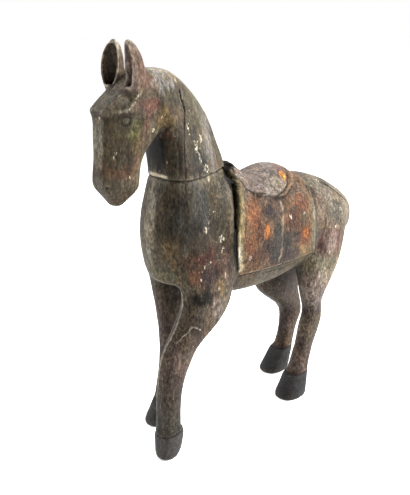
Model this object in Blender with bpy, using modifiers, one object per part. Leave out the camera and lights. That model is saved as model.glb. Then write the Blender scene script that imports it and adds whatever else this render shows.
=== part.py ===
"""A standing horse carved in wood: a body with legs, saddle and saddle cloth, and a head-and-neck block.

The horse faces -Y and its left side is +X.  Metres, +Z up.  The shape is laid out about the middle of its
four hooves, and the figure hangs on an empty that brings the middle of its length to the world origin.
"""

import math

import bmesh
import bpy
import numpy as np
from mathutils import Vector

# Overall sizes
HEIGHT = 0.600          # floor to the ear tips
SEAM_HEIGHT = 0.4160    # flat glue joint between the body and the neck
SEAM_GAP = 0.0003       # clearance left in the joint
LENGTH_MIDDLE = 0.0499  # where the middle of the length lies, behind the middle of the hooves
NECK_OFFSET = 0.0050    # the base of the neck stands this far to the left of the middle plane
NECK_SKEW = 0.0055      # and its throat leans as far again to the left, its crest to the right
NECK_FADE = 0.05        # height over which the neck comes back to the middle plane
LEG_SPREAD = 0.0425     # each leg's distance from the middle plane

# Surface resolution of the fused carving
VOXEL = 0.0030
LAYER_VOXEL = 0.0022
RING_SIDES = 40
HOOF_SIDES = 28
BODY_KEEP = 0.0265      # share of the fused triangles that the body keeps
NECK_KEEP = 0.0400      # the same for the head and neck
BODY_PASSES = 8
LAYER_PASSES = 2
NECK_PASSES = 5

# Hooves
CORONET_HEIGHT = 0.043
CORONET_TILT = 0.16     # the coronet rises towards the heel
SOLE_BEVEL = 0.004

# Saddle cloth and saddle, as layers over the barrel
CLOTH_FRONT = -0.026
CLOTH_BACK = 0.146
CLOTH_HEM = 0.259
CLOTH_THICKNESS = 0.0038
CLOTH_LEAN = 0.0450     # how far the cloth's rear edge would lean back over the whole span
LEAN_START = 0.350
LEAN_SPAN = 0.075
LEAN_LIMIT = 0.90       # share of the span after which the rear edge stands upright
HEM_CURL = 0.0120       # how far the rear edge swings back again at the hem
HEM_CURL_START = 0.310
SADDLE_FRONT = 0.008
SADDLE_BACK = 0.132
SADDLE_PAD = 0.004      # least thickness of the saddle over the cloth
POMMEL_RISE = 0.0195
POMMEL_PEAK = 10        # the higher, the more the pommel comes to a peak over the spine
POMMEL_FOOT = 0.380
GROOVE_WIDTH = 0.0105
GROOVE_DEPTH = 0.0085
GROOVE_REACH = 0.030    # how far the cutting slab stands out of the barrel
GROOVE_FOOT = 0.334     # height at which the groove ends
GROOVE_SLOPE = 0.40     # share of the width over which the groove's front side runs down to its floor
CORE_SHARES = (-4.0, 0.04, 0.40, 0.96, 5.0)   # rings of the groove's core, in widths behind its front side
CORE_MARGIN = 0.004     # overlap that keeps the core clear of the slab's faces

# Ears
EAR_BASE = (0.0250, -0.1680, 0.5330)
EAR_TIP = (0.0150, -0.1720, HEIGHT)
EAR_BOW = 0.0036        # the ears bow outwards by this much at half height
EAR_WIDTH = 0.0166
EAR_DEPTH = 0.0142
EAR_TURN = math.radians(15)   # the openings turn towards each other
EAR_SIDES = 20
HOLLOW_START = 0.14     # the scoop begins and ends at these shares of the ear's height
HOLLOW_END = 0.98
HOLLOW_WIDTH = 0.80
HOLLOW_SHIFT = 0.0085

# Barrel: (y, top, bottom, half width)
BARREL = (
    (-0.100, 0.385, 0.264, 0.046),
    (-0.060, 0.408, 0.246, 0.056),
    (-0.020, 0.412, 0.223, 0.0635),
    (0.000, 0.408, 0.2165, 0.0650),
    (0.018, 0.396, 0.2145, 0.0660),
    (0.035, 0.387, 0.2135, 0.0665),
    (0.055, 0.384, 0.2135, 0.0668),
    (0.090, 0.384, 0.2145, 0.0670),
    (0.130, 0.384, 0.221, 0.0655),
    (0.180, 0.3825, 0.232, 0.0625),
    (0.220, 0.3690, 0.240, 0.0575),
    (0.255, 0.3500, 0.250, 0.0480),
    (0.283, 0.3325, 0.262, 0.0340),
    (0.297, 0.319, 0.275, 0.0180),
)

# Chest and shoulders, cut level: (z, front, back, half width, taper towards the back, squareness)
SHOULDERS = (
    (0.259, -0.1215, 0.015, 0.0560, 0.05, 2.15),
    (0.270, -0.1275, 0.020, 0.0580, 0.10, 2.1),
    (0.285, -0.1320, 0.025, 0.0590, 0.15, 2.1),
    (0.310, -0.1360, 0.025, 0.0598, 0.20, 2.1),
    (0.335, -0.1370, 0.025, 0.0585, 0.28, 2.1),
    (0.360, -0.1350, 0.020, 0.0550, 0.42, 2.15),
    (0.385, -0.1305, 0.012, 0.0505, 0.52, 2.3),
    (0.405, -0.1265, 0.007, 0.0465, 0.58, 2.5),
    (SEAM_HEIGHT, -0.1245, 0.0055, 0.0440, 0.60, 2.6),
)

# Legs, cut level from the trunk down: (z, centre y, half length, half width, centre x)
FRONT_LEFT = (
    (0.300, -0.060, 0.054, 0.0250, 0.0380),
    (0.270, -0.062, 0.050, 0.0245, 0.0415),
    (0.245, -0.064, 0.0440, 0.0245, 0.0435),
    (0.230, -0.0675, 0.0430, 0.0245, 0.0440),
    (0.2164, -0.0732, 0.0415, 0.0250, 0.0437),
    (0.2029, -0.0817, 0.0390, 0.0250, LEG_SPREAD),
    (0.1903, -0.0929, 0.0355, 0.0240, LEG_SPREAD),
    (0.1786, -0.1067, 0.0296, 0.0225, LEG_SPREAD),
    (0.1661, -0.1175, 0.0260, 0.0216, LEG_SPREAD),
    (0.1524, -0.1246, 0.0240, 0.0208, LEG_SPREAD),
    (0.1380, -0.1300, 0.0212, 0.0198, LEG_SPREAD),
    (0.1160, -0.1358, 0.0188, 0.0184, LEG_SPREAD),
    (0.0920, -0.1390, 0.0182, 0.0178, LEG_SPREAD),
    (0.0680, -0.1403, 0.0183, 0.0181, LEG_SPREAD),
    (0.0350, -0.1408, 0.0187, 0.0187, LEG_SPREAD),
)
FRONT_RIGHT = (
    (0.300, -0.064, 0.050, 0.0250, 0.0380),
    (0.270, -0.062, 0.046, 0.0245, 0.0415),
    (0.245, -0.058, 0.0415, 0.0245, 0.0433),
    (0.220, -0.0555, 0.0385, 0.0250, 0.0440),
    (0.200, -0.0555, 0.0350, 0.0248, LEG_SPREAD),
    (0.180, -0.0570, 0.0310, 0.0230, LEG_SPREAD),
    (0.160, -0.0590, 0.0265, 0.0212, LEG_SPREAD),
    (0.140, -0.0620, 0.0225, 0.0196, LEG_SPREAD),
    (0.120, -0.0645, 0.0194, 0.0184, LEG_SPREAD),
    (0.090, -0.0685, 0.0183, 0.0178, LEG_SPREAD),
    (0.065, -0.0730, 0.0183, 0.0181, LEG_SPREAD),
    (0.035, -0.0790, 0.0187, 0.0187, LEG_SPREAD),
)
HIND_LEFT = (
    (0.330, 0.208, 0.048, 0.033, 0.026),
    (0.300, 0.202, 0.054, 0.036, 0.030),
    (0.270, 0.198, 0.050, 0.0350, 0.033),
    (0.245, 0.1925, 0.0445, 0.0330, 0.037),
    (0.225, 0.1875, 0.0390, 0.0300, 0.040),
    (0.205, 0.181, 0.0310, 0.0260, LEG_SPREAD),
    (0.185, 0.1765, 0.0240, 0.0218, LEG_SPREAD),
    (0.165, 0.1755, 0.0182, 0.0175, LEG_SPREAD),
    (0.150, 0.1780, 0.0170, 0.0160, LEG_SPREAD),
    (0.137, 0.1775, 0.0198, 0.0165, LEG_SPREAD),
    (0.121, 0.1725, 0.0204, 0.0170, LEG_SPREAD),
    (0.109, 0.1680, 0.0190, 0.0165, LEG_SPREAD),
    (0.092, 0.1625, 0.0166, 0.0157, LEG_SPREAD),
    (0.073, 0.1560, 0.0165, 0.0158, LEG_SPREAD),
    (0.055, 0.1500, 0.0172, 0.0167, LEG_SPREAD),
    (0.035, 0.1440, 0.0180, 0.0177, LEG_SPREAD),
)
HIND_RIGHT = (
    (0.330, 0.208, 0.050, 0.033, 0.026),
    (0.300, 0.206, 0.059, 0.036, 0.030),
    (0.270, 0.203, 0.062, 0.0360, 0.034),
    (0.245, 0.199, 0.063, 0.0345, 0.038),
    (0.225, 0.193, 0.064, 0.0325, 0.041),
    (0.205, 0.186, 0.060, 0.0300, LEG_SPREAD),
    (0.188, 0.182, 0.055, 0.0275, LEG_SPREAD),
    (0.172, 0.181, 0.0485, 0.0255, LEG_SPREAD),
    (0.157, 0.188, 0.0415, 0.0240, LEG_SPREAD),
    (0.142, 0.200, 0.0335, 0.0220, LEG_SPREAD),
    (0.128, 0.2115, 0.0268, 0.0200, LEG_SPREAD),
    (0.114, 0.2190, 0.0238, 0.0185, LEG_SPREAD),
    (0.102, 0.2205, 0.0222, 0.0176, LEG_SPREAD),
    (0.088, 0.2165, 0.0186, 0.0166, LEG_SPREAD),
    (0.0735, 0.2120, 0.0166, 0.0160, LEG_SPREAD),
    (0.0586, 0.2080, 0.0164, 0.0162, LEG_SPREAD),
    (0.035, 0.2000, 0.0178, 0.0176, LEG_SPREAD),
)

# Hooves: side, coronet (centre y, half length, half width), sole (the same), swell of the wall
HOOVES = (
    (1, (-0.1392, 0.0218, 0.0206), (-0.1445, 0.0166, 0.0158), 0.45),
    (-1, (-0.0755, 0.0200, 0.0200), (-0.0900, 0.0274, 0.0218), 1.0),
    (1, (0.1430, 0.0202, 0.0198), (0.1300, 0.0284, 0.0232), 1.0),
    (-1, (0.1990, 0.0202, 0.0198), (0.1790, 0.0279, 0.0232), 1.0),
)

# Saddle: (share of its length, rise over the pad, lower edge height)
SADDLE = (
    (0.00, 0.0040, 0.400),
    (0.10, 0.0040, 0.384),
    (0.20, 0.0030, 0.377),
    (0.35, 0.0055, 0.3700),
    (0.54, 0.0125, 0.3665),
    (0.68, 0.0160, 0.3705),
    (0.80, 0.0155, 0.379),
    (0.92, 0.0110, 0.390),
    (1.00, 0.0040, 0.398),
)

# Pommel: (y, share of its rise)
POMMEL = (
    (0.0090, 0.95),
    (0.0130, 1.00),
    (0.0190, 0.90),
    (0.0260, 0.72),
    (0.0340, 0.50),
    (0.0420, 0.28),
)

# Front edge of the saddle cloth: (height, how far back it lies)
CLOTH_EDGE = (
    (0.259, 0.0120),
    (0.270, 0.0090),
    (0.285, 0.0050),
    (0.305, 0.0015),
    (0.325, 0.0010),
    (0.342, 0.0030),
    (0.360, 0.0070),
    (0.376, 0.0120),
    (0.389, 0.0160),
    (0.401, 0.0185),
    (0.407, 0.0215),
    (0.412, 0.0265),
    (0.416, 0.0335),
)

# Groove in front of the saddle cloth: (height, share of its width)
GROOVE = (
    (0.334, 0.45),
    (0.342, 0.54),
    (0.360, 0.72),
    (0.376, 0.95),
    (0.389, 1.00),
    (0.401, 0.80),
    (0.412, 0.55),
    (0.416, 0.38),
)

# Tail, cut level: (z, centre y, half length, half width)
TAIL = (
    (0.322, 0.2800, 0.0075, 0.0110),
    (0.313, 0.2990, 0.0100, 0.0125),
    (0.295, 0.3040, 0.0125, 0.0130),
    (0.265, 0.2950, 0.0150, 0.0135),
    (0.235, 0.2760, 0.0160, 0.0135),
    (0.205, 0.2560, 0.0150, 0.0125),
    (0.180, 0.2400, 0.0110, 0.0095),
    (0.165, 0.2330, 0.0050, 0.0045),
)
TAIL_SIDES = 20

# Neck, cut level: (z, front, back, half width, taper)
NECK = (
    (SEAM_HEIGHT, -0.1245, 0.0055, 0.0440, 0.60),
    (0.4350, -0.1245, 0.000, 0.0435, 0.72),
    (0.4550, -0.1260, -0.010, 0.0430, 0.78),
    (0.4750, -0.1310, -0.019, 0.0425, 0.74),
    (0.4950, -0.1380, -0.031, 0.0412, 0.65),
    (0.5150, -0.1480, -0.047, 0.0388, 0.55),
    (0.5350, -0.1560, -0.068, 0.0350, 0.40),
    (0.5500, -0.1600, -0.088, 0.0295, 0.25),
    (0.5590, -0.1580, -0.104, 0.0220, 0.15),
    (0.5630, -0.1500, -0.120, 0.0130, 0.10),
)

# Head, cut level: (z, front, back, half width of the nose plane, of the brow, of the cheeks)
HEAD = (
    (0.3865, -0.1965, -0.1840, 0.0085, 0.0088, 0.0092),
    (0.3980, -0.2040, -0.1705, 0.0130, 0.0138, 0.0148),
    (0.4090, -0.2125, -0.1590, 0.0170, 0.0182, 0.0200),
    (0.4200, -0.2167, -0.1575, 0.0185, 0.0200, 0.0220),
    (0.4400, -0.2152, -0.1560, 0.0165, 0.0198, 0.0238),
    (0.4600, -0.2140, -0.1470, 0.0160, 0.0210, 0.0270),
    (0.4800, -0.2133, -0.1280, 0.0165, 0.0228, 0.0305),
    (0.4970, -0.2115, -0.1050, 0.0175, 0.0243, 0.0325),
    (0.5060, -0.2125, -0.1000, 0.0200, 0.0290, 0.0332),
    (0.5120, -0.2135, -0.0980, 0.0214, 0.0325, 0.0338),
    (0.5200, -0.2065, -0.0950, 0.0220, 0.0325, 0.0340),
    (0.5350, -0.1885, -0.0950, 0.0212, 0.0300, 0.0335),
    (0.5480, -0.1715, -0.1000, 0.0205, 0.0260, 0.0290),
    (0.5560, -0.1580, -0.1100, 0.0180, 0.0205, 0.0220),
)

# Ear: (share of its height, share of its width, share of its depth)
EAR = (
    (-0.35, 0.42, 0.62),
    (0.00, 0.60, 0.78),
    (0.20, 0.86, 0.95),
    (0.40, 1.00, 1.00),
    (0.60, 0.97, 0.93),
    (0.80, 0.76, 0.72),
    (0.92, 0.46, 0.46),
    (1.00, 0.16, 0.20),
)

# Box that trims the neck block at the joint: corners below SEAM_HEIGHT
TRIM_LOW = (-0.20, -0.15, 0.30)
TRIM_HIGH = (0.20, 0.20, SEAM_HEIGHT + SEAM_GAP)
NECK_SOCKET = 0.020     # the neck's loft starts this far below the joint before it is trimmed


def clear_scene():
    for thing in list(bpy.data.objects):
        bpy.data.objects.remove(thing, do_unlink=True)


def new_collection(name):
    group = bpy.data.collections.new(name)
    bpy.context.scene.collection.children.link(group)
    return group


def wood_material(name, colour, roughness):
    material = bpy.data.materials.new(name)
    material.use_nodes = True
    shader = material.node_tree.nodes["Principled BSDF"]
    shader.inputs["Base Color"].default_value = (*colour, 1.0)
    shader.inputs["Roughness"].default_value = roughness
    shader.inputs["Metallic"].default_value = 0.0
    return material


def smooth_rows(rows, steps):
    """The rows with cubic in-between rows, so that a few sizes give a flowing outline."""
    rows = np.array(rows, dtype=float)
    slopes = np.gradient(rows, axis=0)
    result = []
    for start, end, slope_a, slope_b in zip(rows[:-1], rows[1:], slopes[:-1], slopes[1:]):
        for step in range(steps):
            t = step / steps
            result.append(
                start * (2 * t**3 - 3 * t**2 + 1)
                + slope_a * (t**3 - 2 * t**2 + t)
                + end * (3 * t**2 - 2 * t**3)
                + slope_b * (t**3 - t**2)
            )
    result.append(rows[-1])
    return result


def unit_oval(sides, squareness, taper=0.0):
    """Points of a rounded oval inside -1..1; taper narrows the side where v is +1."""
    points = []
    for step in range(sides):
        angle = math.tau * step / sides
        u = math.copysign(abs(math.sin(angle)) ** (2 / squareness), math.sin(angle))
        v = -math.copysign(abs(math.cos(angle)) ** (2 / squareness), math.cos(angle))
        points.append((u * (1 - taper * v), v))
    widest = max(u for u, _ in points)
    return [(u / widest, v) for u, v in points]


def level_ring(z, front, back, half_width, centre_x=0.0, squareness=2.3, taper=0.0, sides=RING_SIDES):
    """A closed ring lying level at z."""
    middle = (front + back) / 2
    half = (back - front) / 2
    oval = unit_oval(sides, squareness, taper)
    return [(centre_x + half_width * u, middle + half * v, z) for u, v in oval]


def neck_ring(z, front, back, half_width, taper, squareness):
    """A level ring of the neck, which is not quite square to the body at its base."""
    fade = math.exp(-(((z - SEAM_HEIGHT) / NECK_FADE) ** 2))
    ring = []
    for x, y, _ in level_ring(z, front, back, half_width, 0.0, squareness, taper):
        v = 2 * (y - front) / (back - front) - 1
        ring.append((x + fade * (NECK_OFFSET - NECK_SKEW * v), y, z))
    return ring


def head_ring(z, front, back, nose_half, brow_half, cheek_half):
    """A level ring of the head: a flat nose plane, sides that flare backwards, and a rounded back."""
    depth = back - front
    corner = min(nose_half * 0.3, 0.004)
    side = (
        (0.0, front),
        (nose_half - corner, front),
        (nose_half, front + corner),
        (brow_half, front + 0.30 * depth),
        (cheek_half, front + 0.62 * depth),
        (cheek_half * 0.97, front + 0.84 * depth),
        (cheek_half * 0.78, front + 0.95 * depth),
        (0.0, back),
    )
    left = [(x, y, z) for x, y in side]
    right = [(-x, y, z) for x, y in reversed(side[1:-1])]
    return left + right


def add_cap(bm, ring):
    """Closes a ring with a fan of triangles about its middle."""
    middle = sum((vertex.co for vertex in ring), Vector()) / len(ring)
    hub = bm.verts.new(middle)
    for a, b in zip(ring, ring[1:] + ring[:1]):
        bm.faces.new((a, b, hub))


def add_loft(bm, rings):
    """Skins a run of rings with equal point counts and closes both ends."""
    made = [[bm.verts.new(point) for point in ring] for ring in rings]
    for ring_a, ring_b in zip(made[:-1], made[1:]):
        for i in range(len(ring_a)):
            bm.faces.new((ring_a[i - 1], ring_a[i], ring_b[i], ring_b[i - 1]))
    add_cap(bm, made[0])
    add_cap(bm, made[-1])


def finish_mesh(bm, name):
    bmesh.ops.recalc_face_normals(bm, faces=bm.faces)
    mesh = bpy.data.meshes.new(name)
    bm.to_mesh(mesh)
    bm.free()
    return mesh


def place_object(name, mesh, group, stand):
    thing = bpy.data.objects.new(name, mesh)
    group.objects.link(thing)
    thing.parent = stand
    return thing


def add_boolean(thing, cutter, operation):
    modifier = thing.modifiers.new(f"{operation.lower()} {cutter.name}", "BOOLEAN")
    modifier.operation = operation
    modifier.object = cutter
    modifier.solver = "EXACT"


def hide_cutter(cutter):
    cutter.hide_render = True
    cutter.display_type = "WIRE"


def add_fuse(thing, voxel, passes):
    """Melts the overlapping lofts of an object into one skin and softens it."""
    remesh = thing.modifiers.new("fuse", "REMESH")
    remesh.mode = "VOXEL"
    remesh.voxel_size = voxel
    smooth = thing.modifiers.new("soften", "SMOOTH")
    smooth.factor = 0.5
    smooth.iterations = passes


def add_thinning(thing, keep):
    thin = thing.modifiers.new("thin", "DECIMATE")
    thin.ratio = keep


def fused_mesh(mesh, voxel, passes):
    """The fused and softened skin of a mesh of overlapping lofts."""
    block = bpy.data.objects.new("block", mesh)
    bpy.context.scene.collection.objects.link(block)
    add_fuse(block, voxel, passes)
    graph = bpy.context.evaluated_depsgraph_get()
    fused = bpy.data.meshes.new_from_object(block.evaluated_get(graph))
    bpy.data.objects.remove(block)
    return fused


def barrel_at(y):
    """Top, bottom and half width of the barrel at y."""
    table = np.array(BARREL)
    return [float(np.interp(y, table[:, 0], table[:, column])) for column in (1, 2, 3)]


def barrel_ring(y, offset=0.0, hem=None, lean=None):
    """An upright ring round the barrel, grown by offset, cut off below the hem, leaning with the cloth."""
    top, bottom, half_width = barrel_at(y)
    middle = (top + bottom) / 2
    half = (top - bottom) / 2 + offset
    ring = []
    for u, v in unit_oval(RING_SIDES, 2.25):
        z = middle - half * v
        if hem is not None:
            z = max(z, hem)
        shift = 0.0 if lean is None else cloth_lean(z, lean)
        ring.append(((half_width + offset) * u, y + shift, z))
    return ring


def cloth_lean(z, share):
    """How far the saddle cloth has swung back at height z: share 0 is its front edge, 1 its rear edge."""
    table = np.array(CLOTH_EDGE)
    front = float(np.interp(z, table[:, 0], table[:, 1]))
    rise = min(max(0.0, (z - LEAN_START) / LEAN_SPAN), LEAN_LIMIT)
    drop = min(max(0.0, (HEM_CURL_START - z) / (HEM_CURL_START - CLOTH_HEM)), 1.0)
    rear = CLOTH_LEAN * rise**2 + HEM_CURL * drop**1.5
    return front + (rear - front) * share


def add_leg(bm, rows, side):
    rings = []
    for z, y, half_length, half_width, x in smooth_rows(rows, 2):
        rings.append(level_ring(z, y - half_length, y + half_length, half_width, side * x, squareness=2.35))
    add_loft(bm, rings)


def build_trunk_mesh():
    """The bare trunk with its four legs, fused and well softened."""
    bm = bmesh.new()
    add_loft(bm, [barrel_ring(row[0]) for row in smooth_rows(BARREL, 3)])
    shoulder_rings = []
    for z, front, back, half_width, taper, squareness in smooth_rows(SHOULDERS, 2):
        shoulder_rings.append(neck_ring(z, front, back, half_width, taper, squareness))
    add_loft(bm, shoulder_rings)
    add_leg(bm, FRONT_LEFT, 1)
    add_leg(bm, FRONT_RIGHT, -1)
    add_leg(bm, HIND_LEFT, 1)
    add_leg(bm, HIND_RIGHT, -1)
    return fused_mesh(finish_mesh(bm, "trunk"), VOXEL, BODY_PASSES)


def build_body_mesh():
    """The trunk with the saddle cloth, saddle and tail laid on it."""
    bm = bmesh.new()
    bm.from_mesh(build_trunk_mesh())
    add_loft(bm, cloth_rings())
    add_loft(bm, saddle_rings())
    add_loft(bm, pommel_rings())
    add_loft(bm, tail_rings())
    return finish_mesh(bm, "body")


def hoof_ring(z, centre, half_length, half_width, x, tilt=0.0):
    """A ring of a hoof, tilted so that it rises towards the heel."""
    ring = level_ring(z, centre - half_length, centre + half_length, half_width, x, 2.5, sides=HOOF_SIDES)
    return [(px, py, pz + tilt * (py - centre)) for px, py, pz in ring]


def build_hoof_mesh(name, side, coronet, sole, swell):
    """A hoof: a tilted coronet face, a wall that runs to the toe, and a flat sole with a worn edge."""
    x = side * LEG_SPREAD
    rings = []
    for share in (1.0, 0.6, 0.25, 0.0):
        wall = share**swell
        centre, half_length, half_width = [a * wall + b * (1 - wall) for a, b in zip(coronet, sole)]
        z = CORONET_HEIGHT * share + SOLE_BEVEL * (1 - share)
        rings.append(hoof_ring(z, centre, half_length, half_width, x, CORONET_TILT * share))
    centre, half_length, half_width = sole
    inset = SOLE_BEVEL / 2
    rings.append(hoof_ring(0.0, centre, half_length - inset, half_width - inset, x))
    bm = bmesh.new()
    add_loft(bm, rings)
    return finish_mesh(bm, name)


def cloth_rings():
    """The saddle cloth: a layer over the barrel, cut level along its hem, with leaning edges."""
    steps = 12
    rings = []
    for step in range(steps + 1):
        y = CLOTH_FRONT + (CLOTH_BACK - CLOTH_FRONT) * step / steps
        rings.append(barrel_ring(y, CLOTH_THICKNESS, CLOTH_HEM, lean=step / steps))
    return rings


def saddle_rings():
    """The saddle: a rounded pad over the back with a low seat, rising to the cantle."""
    rings = []
    for share, rise, edge in smooth_rows(SADDLE, 2):
        y = SADDLE_FRONT + (SADDLE_BACK - SADDLE_FRONT) * share
        top, bottom, half_width = barrel_at(y)
        middle = (top + bottom) / 2
        ring = []
        for u, v in unit_oval(RING_SIDES, 2.25):
            up = max(-v, 0.0)
            z = middle - ((top - bottom) / 2 + CLOTH_THICKNESS + SADDLE_PAD + rise * up**3) * v
            ring.append(((half_width + CLOTH_THICKNESS + SADDLE_PAD) * u, y, max(z, edge)))
        rings.append(ring)
    return rings


def pommel_rings():
    """The pommel: a crest that stands up close behind the neck and runs down into the seat."""
    rings = []
    for y, share in POMMEL:
        top, bottom, half_width = barrel_at(y)
        middle = (top + bottom) / 2
        ring = []
        for u, v in unit_oval(RING_SIDES, 2.25):
            rise = POMMEL_RISE * share * max(-v, 0.0) ** POMMEL_PEAK
            z = max(middle - ((top - bottom) / 2 + CLOTH_THICKNESS + rise) * v, POMMEL_FOOT)
            ring.append(((half_width + CLOTH_THICKNESS) * u, y, z))
        rings.append(ring)
    return rings


def groove_width(z):
    """Width of the groove at height z: widest beside the withers, closing towards its foot and its top."""
    table = np.array(GROOVE)
    return GROOVE_WIDTH * float(np.interp(z, table[:, 0], table[:, 1]))


def build_groove_meshes():
    """The cut in front of the saddle cloth: a slab across the withers, and the core it leaves standing."""
    slab = bmesh.new()
    back_ring = barrel_ring(CLOTH_FRONT, GROOVE_REACH, GROOVE_FOOT, lean=0.0)
    front_ring = [(x, y - groove_width(z), z) for x, y, z in back_ring]
    add_loft(slab, [front_ring, back_ring])
    core = bmesh.new()
    core_rings = []
    for share in CORE_SHARES:
        depth = (CORE_MARGIN + GROOVE_DEPTH) * min(max(share / GROOVE_SLOPE, 0.0), 1.0)
        y = CLOTH_FRONT + GROOVE_WIDTH * (share - 1.0)
        core_rings.append(barrel_ring(y, CORE_MARGIN - depth, lean=0.0))
    add_loft(core, core_rings)
    return finish_mesh(slab, "groove_slab"), finish_mesh(core, "groove_core")


def tail_rings():
    """The tail: a ridge from the croup that lies down the cleft between the buttocks."""
    rings = []
    for z, y, half_length, half_width in smooth_rows(TAIL, 2):
        rings.append(level_ring(z, y - half_length, y + half_length, half_width, sides=TAIL_SIDES))
    return rings


def ear_ring(share, side, width, depth, shift):
    """A ring across the ear at a share of its height; shift moves it along the way the ear faces."""
    x, y, z = [a + (b - a) * share for a, b in zip(EAR_BASE, EAR_TIP)]
    bow = EAR_BOW * 4 * share * (1 - share)
    centre = np.array((side * (x + bow), y, z))
    facing = np.array((-side * math.sin(EAR_TURN), -math.cos(EAR_TURN), 0.0))
    across = np.array((math.cos(EAR_TURN), -side * math.sin(EAR_TURN), 0.0))
    ring = []
    for u, v in unit_oval(EAR_SIDES, 2.0):
        ring.append(tuple(centre + across * width * u + facing * (shift - depth * v)))
    return ring


def add_ear(bm, side):
    rows = smooth_rows(EAR, 2)
    add_loft(bm, [ear_ring(share, side, EAR_WIDTH * w, EAR_DEPTH * d, 0.0) for share, w, d in rows])


def build_ear_hollow(side):
    """The scoop in the front of an ear."""
    bm = bmesh.new()
    rings = []
    for share, width, depth in smooth_rows(EAR[1:-1], 2):
        lifted = HOLLOW_START + share * (HOLLOW_END - HOLLOW_START)
        across = EAR_WIDTH * HOLLOW_WIDTH * width
        rings.append(ear_ring(lifted, side, across, EAR_DEPTH * depth, HOLLOW_SHIFT))
    add_loft(bm, rings)
    return finish_mesh(bm, "ear_hollow")


def build_head_mesh():
    bm = bmesh.new()
    neck_rings = []
    for z, front, back, half_width, taper in smooth_rows(NECK, 2):
        neck_rings.append(neck_ring(z, front, back, half_width, taper, 2.6))
    low = [(x, y, z - NECK_SOCKET) for x, y, z in neck_rings[0]]
    add_loft(bm, [low] + neck_rings)
    add_loft(bm, [head_ring(*row) for row in smooth_rows(HEAD, 2)])
    for side in (1, -1):
        add_ear(bm, side)
    return finish_mesh(bm, "head_neck")


def build_box_mesh(name, low, high):
    bm = bmesh.new()
    bmesh.ops.create_cube(bm, size=1.0)
    for vertex in bm.verts:
        for axis in range(3):
            vertex.co[axis] = high[axis] if vertex.co[axis] > 0 else low[axis]
    return finish_mesh(bm, name)


def main():
    clear_scene()
    horse = new_collection("carved_wooden_horse")
    cutters = new_collection("cutters")
    stand = bpy.data.objects.new("horse_middle", None)
    stand.location = (0.0, -LENGTH_MIDDLE, 0.0)
    horse.objects.link(stand)
    body_wood = wood_material("weathered_body_wood", (0.105, 0.078, 0.058), 0.62)
    neck_wood = wood_material("weathered_neck_wood", (0.115, 0.090, 0.065), 0.60)

    body = place_object("body", build_body_mesh(), horse, stand)
    body.data.materials.append(body_wood)
    add_fuse(body, LAYER_VOXEL, LAYER_PASSES)
    add_thinning(body, BODY_KEEP)

    slab_mesh, core_mesh = build_groove_meshes()
    slab = place_object("groove_slab", slab_mesh, cutters, stand)
    core = place_object("groove_core", core_mesh, cutters, stand)
    add_boolean(slab, core, "DIFFERENCE")
    for number, row in enumerate(HOOVES):
        name = f"hoof_{number + 1}"
        hoof = place_object(name, build_hoof_mesh(name, *row), cutters, stand)
        add_boolean(body, hoof, "UNION")
        hide_cutter(hoof)
    add_boolean(body, slab, "DIFFERENCE")
    hide_cutter(slab)
    hide_cutter(core)

    head = place_object("head_neck", build_head_mesh(), horse, stand)
    head.data.materials.append(neck_wood)
    add_fuse(head, LAYER_VOXEL, NECK_PASSES)
    add_thinning(head, NECK_KEEP)
    for name, side in (("ear_hollow_left", 1), ("ear_hollow_right", -1)):
        hollow = place_object(name, build_ear_hollow(side), cutters, stand)
        add_boolean(head, hollow, "DIFFERENCE")
        hide_cutter(hollow)
    neck_cut = place_object("neck_cut", build_box_mesh("neck_cut", TRIM_LOW, TRIM_HIGH), cutters, stand)
    add_boolean(head, neck_cut, "DIFFERENCE")
    hide_cutter(neck_cut)


main()
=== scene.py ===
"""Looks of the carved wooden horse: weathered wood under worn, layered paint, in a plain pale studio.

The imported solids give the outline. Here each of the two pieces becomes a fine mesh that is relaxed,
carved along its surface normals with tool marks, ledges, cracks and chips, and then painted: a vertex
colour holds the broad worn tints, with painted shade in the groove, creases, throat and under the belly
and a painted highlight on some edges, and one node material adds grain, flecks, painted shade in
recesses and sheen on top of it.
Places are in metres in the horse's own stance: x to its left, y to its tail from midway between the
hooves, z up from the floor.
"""

import math
from functools import partial

import bpy
import bmesh
import numpy as np
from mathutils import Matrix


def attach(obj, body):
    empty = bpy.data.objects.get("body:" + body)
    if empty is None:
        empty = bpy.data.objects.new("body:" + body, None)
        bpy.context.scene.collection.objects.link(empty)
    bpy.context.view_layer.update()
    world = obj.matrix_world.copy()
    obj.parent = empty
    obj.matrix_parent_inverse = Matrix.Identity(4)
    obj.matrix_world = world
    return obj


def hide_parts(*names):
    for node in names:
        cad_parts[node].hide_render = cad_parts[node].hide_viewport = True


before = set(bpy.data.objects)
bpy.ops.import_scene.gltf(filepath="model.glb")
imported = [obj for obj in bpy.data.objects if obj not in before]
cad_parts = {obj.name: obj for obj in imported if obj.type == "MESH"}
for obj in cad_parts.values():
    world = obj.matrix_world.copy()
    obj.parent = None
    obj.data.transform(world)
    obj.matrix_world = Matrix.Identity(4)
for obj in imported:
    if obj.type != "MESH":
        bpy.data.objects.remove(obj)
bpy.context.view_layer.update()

LENGTH_MIDDLE = 0.0499     # the frame counts y from the middle of the length, this far behind

# Meshes
BODY_VOXEL = 0.00175
HEAD_VOXEL = 0.00104
TRIANGLE_LIMIT = 192000    # for each piece
RELAX_ROUNDS = 26
RELAX_STEP = 0.55
PATH_STEP = 0.005          # marks along a line are brought onto the surface this often
SCRATCH_DEPTH = 1.2        # against 1.0 for the middle of a chip
CREASE_ANGLE = math.radians(14)   # turns of the surface well above this stay crisp

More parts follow.
